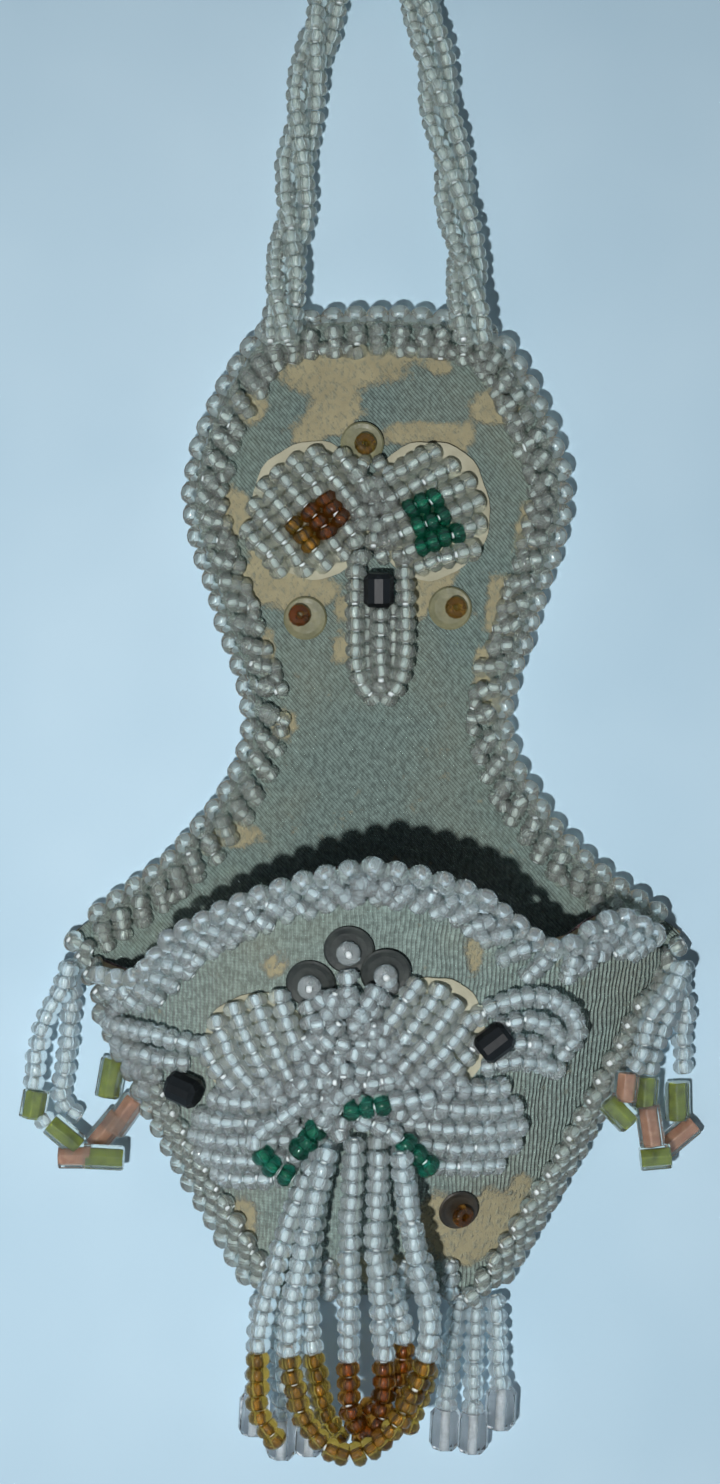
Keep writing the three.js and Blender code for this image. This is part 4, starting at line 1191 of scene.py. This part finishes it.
GATHER_X, GATHER_Z = -2.0, -195.5
GOLD_BELOW = -230.5
CENTRE_LOOPS = [
    (0, [(2.2, 0), (2.8, -12), (4, -24), (6.6, -31), (5.8, -39), (1.2, -43.4), (-1, -46)]),
    (0, [(-5.2, 0), (-7.4, -10), (-9, -24), (-8, -36), (-6, -45), (-3.4, -49)]),
    (1, [(-1.4, 0), (-2.2, -14), (-2.3, -32), (-2.1, -43), (0.6, -47.6), (3, -43), (3, -30), (2, -16), (2.6, -2)]),
    (1, [(-5.4, 0), (-9.5, -7), (-13.6, -18), (-16.8, -30), (-17.2, -37), (-16.9, -44), (-13.6, -48.4)]),
    (1, [(6.4, -1), (7.4, -12), (10, -22), (11, -30), (9.4, -40), (6.6, -46)]),
    (2, [(-5.8, -1), (-9, -14), (-12, -28), (-11.6, -36), (-8.6, -45), (-3.2, -49), (2.6, -47), (7.2, -41),
         (10, -34.4), (10.8, -28), (9.4, -22), (7.4, -11), (6, -1.6)]),
]


class POCKET_OT_centre_fringe(bpy.types.Operator):
    """Hangs the loops of the centre fringe, clear above and gold at their bottoms"""

    bl_idname = "pocket.centre_fringe"
    bl_label = "Centre fringe"

    def execute(self, context):
        rear = on_front(GATHER_X, GATHER_Z, -0.3).y - 1.5
        for i, (layer, places) in enumerate(CENTRE_LOOPS):
            kit = Kit(f"centre_loop_{i + 1}_beads", 70 + i)
            line = thread_curve([(GATHER_X + x, rear - 3.2 * layer, GATHER_Z + 1.03 * z) for x, z in places])
            dark = i in (0, 2)
            below = GOLD_BELOW - (1.5 if i in (2, 4) else 0)

            def finish(place, share, dark=dark, below=below):
                if place.z > below:
                    return "clear_glass"
                return "amber_glass" if dark else "gold_glass"

            kit.string(line, finish, 3.95, 2.3)
            kit.object("centre_fringe", f"centre_loop_{i + 1}", slot="clear_glass")
        return {"FINISHED"}


CORNER_LOOPS = {
    "left_1": (-1, 0,
        [(0.8, -1), (-0.4, -5), (-2.6, -9), (-4.6, -15), (-5.2, -20), (-5.3, -24), (-3.2, -28), (0.4, -30.6), (2.4, -33.8), (6, -34)],
        [(-5.3, -25, 4.4, 80, 1), (-0.2, -30.2, 6, -40, 1), (1.6, -33.8, 5.2, 0, 0), (6.4, -34, 6.4, -3, 1)]),
    "left_2": (-1, 1,
        [(1, -1), (0.4, -9), (-0.2, -15), (-0.8, -20), (-1.2, -25), (2.4, -28.4), (6.6, -30.6), (9, -28), (8, -22.6), (7, -20)],
        [(6.4, -30.2, 6.6, 50, 0), (9.3, -27.6, 6.6, 55, 0), (7.1, -21.2, 6.4, 80, 1)]),
    "right_1": (1, -1,
        [(-1.6, -1), (-3.4, -5), (-5.8, -8), (-7.6, -11.5), (-8.6, -16), (-10.6, -20), (-12.2, -25)],
        [(-11.2, -21.4, 4.4, 84, 0), (-12.4, -25.6, 5.2, -46, 1)]),
    "right_2": (1, 0,
        [(-0.9, -1), (-3.2, -9), (-5.6, -15), (-7, -21), (-7, -27), (-5.8, -33)],
        [(-7.3, -23, 5, 86, 1), (-6.6, -28.6, 6.6, 98, 0), (-5.7, -34, 4.8, 5, 1)]),
    "right_3": (1, 1,
        [(-0.5, -1), (-0.8, -5), (0, -9), (-0.4, -14), (-0.4, -19), (-1, -25), (-1.2, -31)],
        [(-1.3, -25.2, 6.2, 91, 1), (-1.2, -31.2, 6.8, 40, 0)]),
}


class POCKET_OT_corner_fringes(bpy.types.Operator):
    """Hangs the loops at both corners of the mouth, with their hexagonal tube beads"""

    bl_idname = "pocket.corner_fringes"
    bl_label = "Corner fringes"

    def execute(self, context):
        for n, (name, (hand, layer, places, tubes)) in enumerate(CORNER_LOOPS.items()):
            kit = Kit(f"corner_loop_{name}_beads", 80 + n)
            gather_x, gather_z = CENTRE_X + hand * (HIP_HALF - 0.9), HIP_Z - 3

            def place_of(x, z, gather_x=gather_x, gather_z=gather_z, layer=layer):
                return Vector((gather_x + x, -3 + layer * (3.2 + 1.6 * min(1, -z / 14)), gather_z + z))

            line = thread_curve([place_of(x, z) for x, z in places])
            middles = [(place_of(x, z), length) for x, z, length, _, _ in tubes]
            pitch = 2.2
            for place, along, share in spaced(line, pitch):
                if all((place - at).length > length / 2 + 0.9 for at, length in middles):
                    kit.bead(place, along, width=3.75, pitch=pitch)
            for x, z, length, tilt, olive in tubes:
                turn = math.radians(tilt)
                axis = Vector((math.cos(turn), 0.0, math.sin(turn)))
                at = place_of(x, z)
                kit.put("hex", kit.lie(at, axis, 4.8, length + 0.3, 0.3), "tube_glass")
                kit.put("core", kit.lie(at, axis, 2.9, length * 0.985, 0.3), "olive_core" if olive else "copper_core")
            side = name.split("_")[0]
            kit.object(f"corner_fringe_{side}", f"corner_loop_{name}", slot="lined_glass")
        return {"FINISHED"}


class POCKET_OT_bottom_fringes(bpy.types.Operator):
    """Hangs the three strands at each bottom corner, each ending in a faceted bead"""

    bl_idname = "pocket.bottom_fringes"
    bl_label = "Bottom fringes"

    def execute(self, context):
        for side, hand, extra in (("left", -1, 1.0), ("right", 1, 0.0)):
            gather_x, gather_z = CENTRE_X + hand * (BOTTOM_HALF - 3.4), BOTTOM_Z + RIM_INSET - 0.6
            for i, (x0, x1, z1) in enumerate(((-3.2, -5.6, -20.4), (-0.3, -0.9, -21), (2.8, 3.8, -17))):
                kit = Kit(f"bottom_strand_{side}_{i + 1}_beads", 90 + i + 5 * hand)
                z1 -= extra
                points = [(x0, -0.9), ((2 * x0 + x1) / 3, z1 / 3), (x1, z1)]
                line = thread_curve([(gather_x + hand * x, -0.6, gather_z + z) for x, z in points])
                kit.string(line, width=3.8, pitch=2.3)
                at = line[-1] + Vector((0, 0, -3.0))
                kit.put("facet", kit.lie(at, (0.05, 0, 1), 5.9, 7.0, 0.2), "pink_glass")
                kit.put("thread", kit.lie(at, (0.05, 0, 1), 1.3, 6.6), "thread")
                kit.object(f"bottom_fringe_{side}", f"bottom_strand_{side}_{i + 1}", slot="clear_glass")
        return {"FINISHED"}


class POCKET_OT_stage(bpy.types.Operator):
    """Adds the plain pale wall behind the pocket, and soft light on it"""

    bl_idname = "pocket.stage"
    bl_label = "Wall and light"

    def execute(self, context):
        lights = context.scene.pocket_light
        bm = bmesh.new()
        bmesh.ops.create_grid(bm, x_segments=1, y_segments=1, size=1.5)
        bmesh.ops.rotate(bm, verts=bm.verts, cent=(0, 0, 0), matrix=Matrix.Rotation(math.pi / 2, 3, "X"))
        bmesh.ops.translate(bm, verts=bm.verts, vec=(0, 0.0046, -0.12))
        mesh = bpy.data.meshes.new("wall")
        bm.to_mesh(mesh)
        bm.free()
        wall = bpy.data.objects.new("wall", mesh)
        f = Finish("wall_paint").set(Roughness=0.8, Specular_IOR_Level=0.2)
        at = f.place()
        f.join(f.ramp(f.noise(at, 14.0, 3.0), (0.3, rgb(177, 207, 225)), (0.7, rgb(191, 218, 234))), "Base Color")
        clear = f.node("ShaderNodeBsdfTransparent")
        behind = f.node("ShaderNodeNewGeometry").outputs["Backfacing"]
        both = f.node("ShaderNodeMixShader", {0: behind, 1: f.shader.outputs[0], 2: clear.outputs[0]})
        f.tree.links.new(both.outputs[0], f.tree.nodes["Material Output"].inputs["Surface"])
        mesh.materials.append(f.material)
        wall.visible_shadow = False
        wall.visible_diffuse = False
        context.scene.collection.objects.link(wall)

        world = bpy.data.worlds.new("room")
        world.use_nodes = True
        tree = world.node_tree
        ground = tree.nodes["Background"]
        ground.inputs["Color"].default_value = rgb(236, 242, 248)
        ground.inputs["Strength"].default_value = lights.fill
        seen = tree.nodes.new("ShaderNodeBackground")
        seen.inputs["Color"].default_value = rgb(190, 214, 230)
        ray = tree.nodes.new("ShaderNodeLightPath")
        either = ray.outputs["Is Camera Ray"]
        for name in ("Is Glossy Ray", "Is Transmission Ray"):
            most = tree.nodes.new("ShaderNodeMath")
            most.operation = "MAXIMUM"
            tree.links.new(either, most.inputs[0])
            tree.links.new(ray.outputs[name], most.inputs[1])
            either = most.outputs[0]
        mixed = tree.nodes.new("ShaderNodeMixShader")
        for source, socket in ((either, 0), (ground.outputs[0], 1), (seen.outputs[0], 2)):
            tree.links.new(source, mixed.inputs[socket])
        tree.links.new(mixed.outputs[0], tree.nodes["World Output"].inputs["Surface"])
        context.scene.world = world

        def lamp(name, size, power, place, aim):
            data = bpy.data.lights.new(name, "AREA")
            data.shape, data.size, data.energy = "DISK", size, power
            lit = bpy.data.objects.new(name, data)
            lit.location = place
            lit.rotation_euler = (Vector(aim) - Vector(place)).to_track_quat("-Z", "Y").to_euler()
            context.scene.collection.objects.link(lit)

        lamp("key", 0.014, lights.key_power, (-0.062, -0.43, -0.212), (0, 0, -0.14))
        lamp("soft", 0.5, lights.key_power * 0.28, (-0.4, -0.8, -0.5), (0, 0, -0.12))
        lamp("back", 0.8, lights.key_power * 2.6, (0.35, 0.9, 0.25), (0, 0, -0.12))
        context.scene.view_settings.view_transform = "Standard"
        return {"FINISHED"}


OPERATORS = (
    POCKET_OT_camera,
    POCKET_OT_strap,
    POCKET_OT_back_panel,
    POCKET_OT_front_panel,
    POCKET_OT_edging,
    POCKET_OT_upper_motif,
    POCKET_OT_front_motif,
    POCKET_OT_sequins,
    POCKET_OT_centre_fringe,
    POCKET_OT_corner_fringes,
    POCKET_OT_bottom_fringes,
    POCKET_OT_stage,
)


class POCKET_PT_panel(bpy.types.Panel):
    """Lists the pocket's sizes, colours and pieces"""

    bl_idname = "POCKET_PT_panel"
    bl_label = "Beaded wall pocket"
    bl_space_type = "VIEW_3D"
    bl_region_type = "UI"
    bl_category = "Pocket"

    def draw(self, context):
        for group in (context.scene.pocket_beads, context.scene.pocket_cloths, context.scene.pocket_light):
            box = self.layout.box()
            for name in type(group).__annotations__:
                box.prop(group, name)
        for operator in OPERATORS:
            self.layout.operator(operator.bl_idname)


GROUPS = (
    ("pocket_beads", PocketBeadSettings),
    ("pocket_cloths", PocketClothSettings),
    ("pocket_light", PocketLightSettings),
)


def register():
    for name, group in GROUPS:
        bpy.utils.register_class(group)
        setattr(bpy.types.Scene, name, bpy.props.PointerProperty(type=group))
    for cls in (*OPERATORS, POCKET_PT_panel):
        bpy.utils.register_class(cls)


def unregister():
    for cls in (POCKET_PT_panel, *reversed(OPERATORS)):
        bpy.utils.unregister_class(cls)
    for name, group in reversed(GROUPS):
        delattr(bpy.types.Scene, name)
        bpy.utils.unregister_class(group)


def main():
    register()
    FINISH.update(finishes())
    make_shapes()
    for operator in OPERATORS:
        group, name = operator.bl_idname.split(".")
        getattr(getattr(bpy.ops, group), name)()


if __name__ == "__main__":
    main()
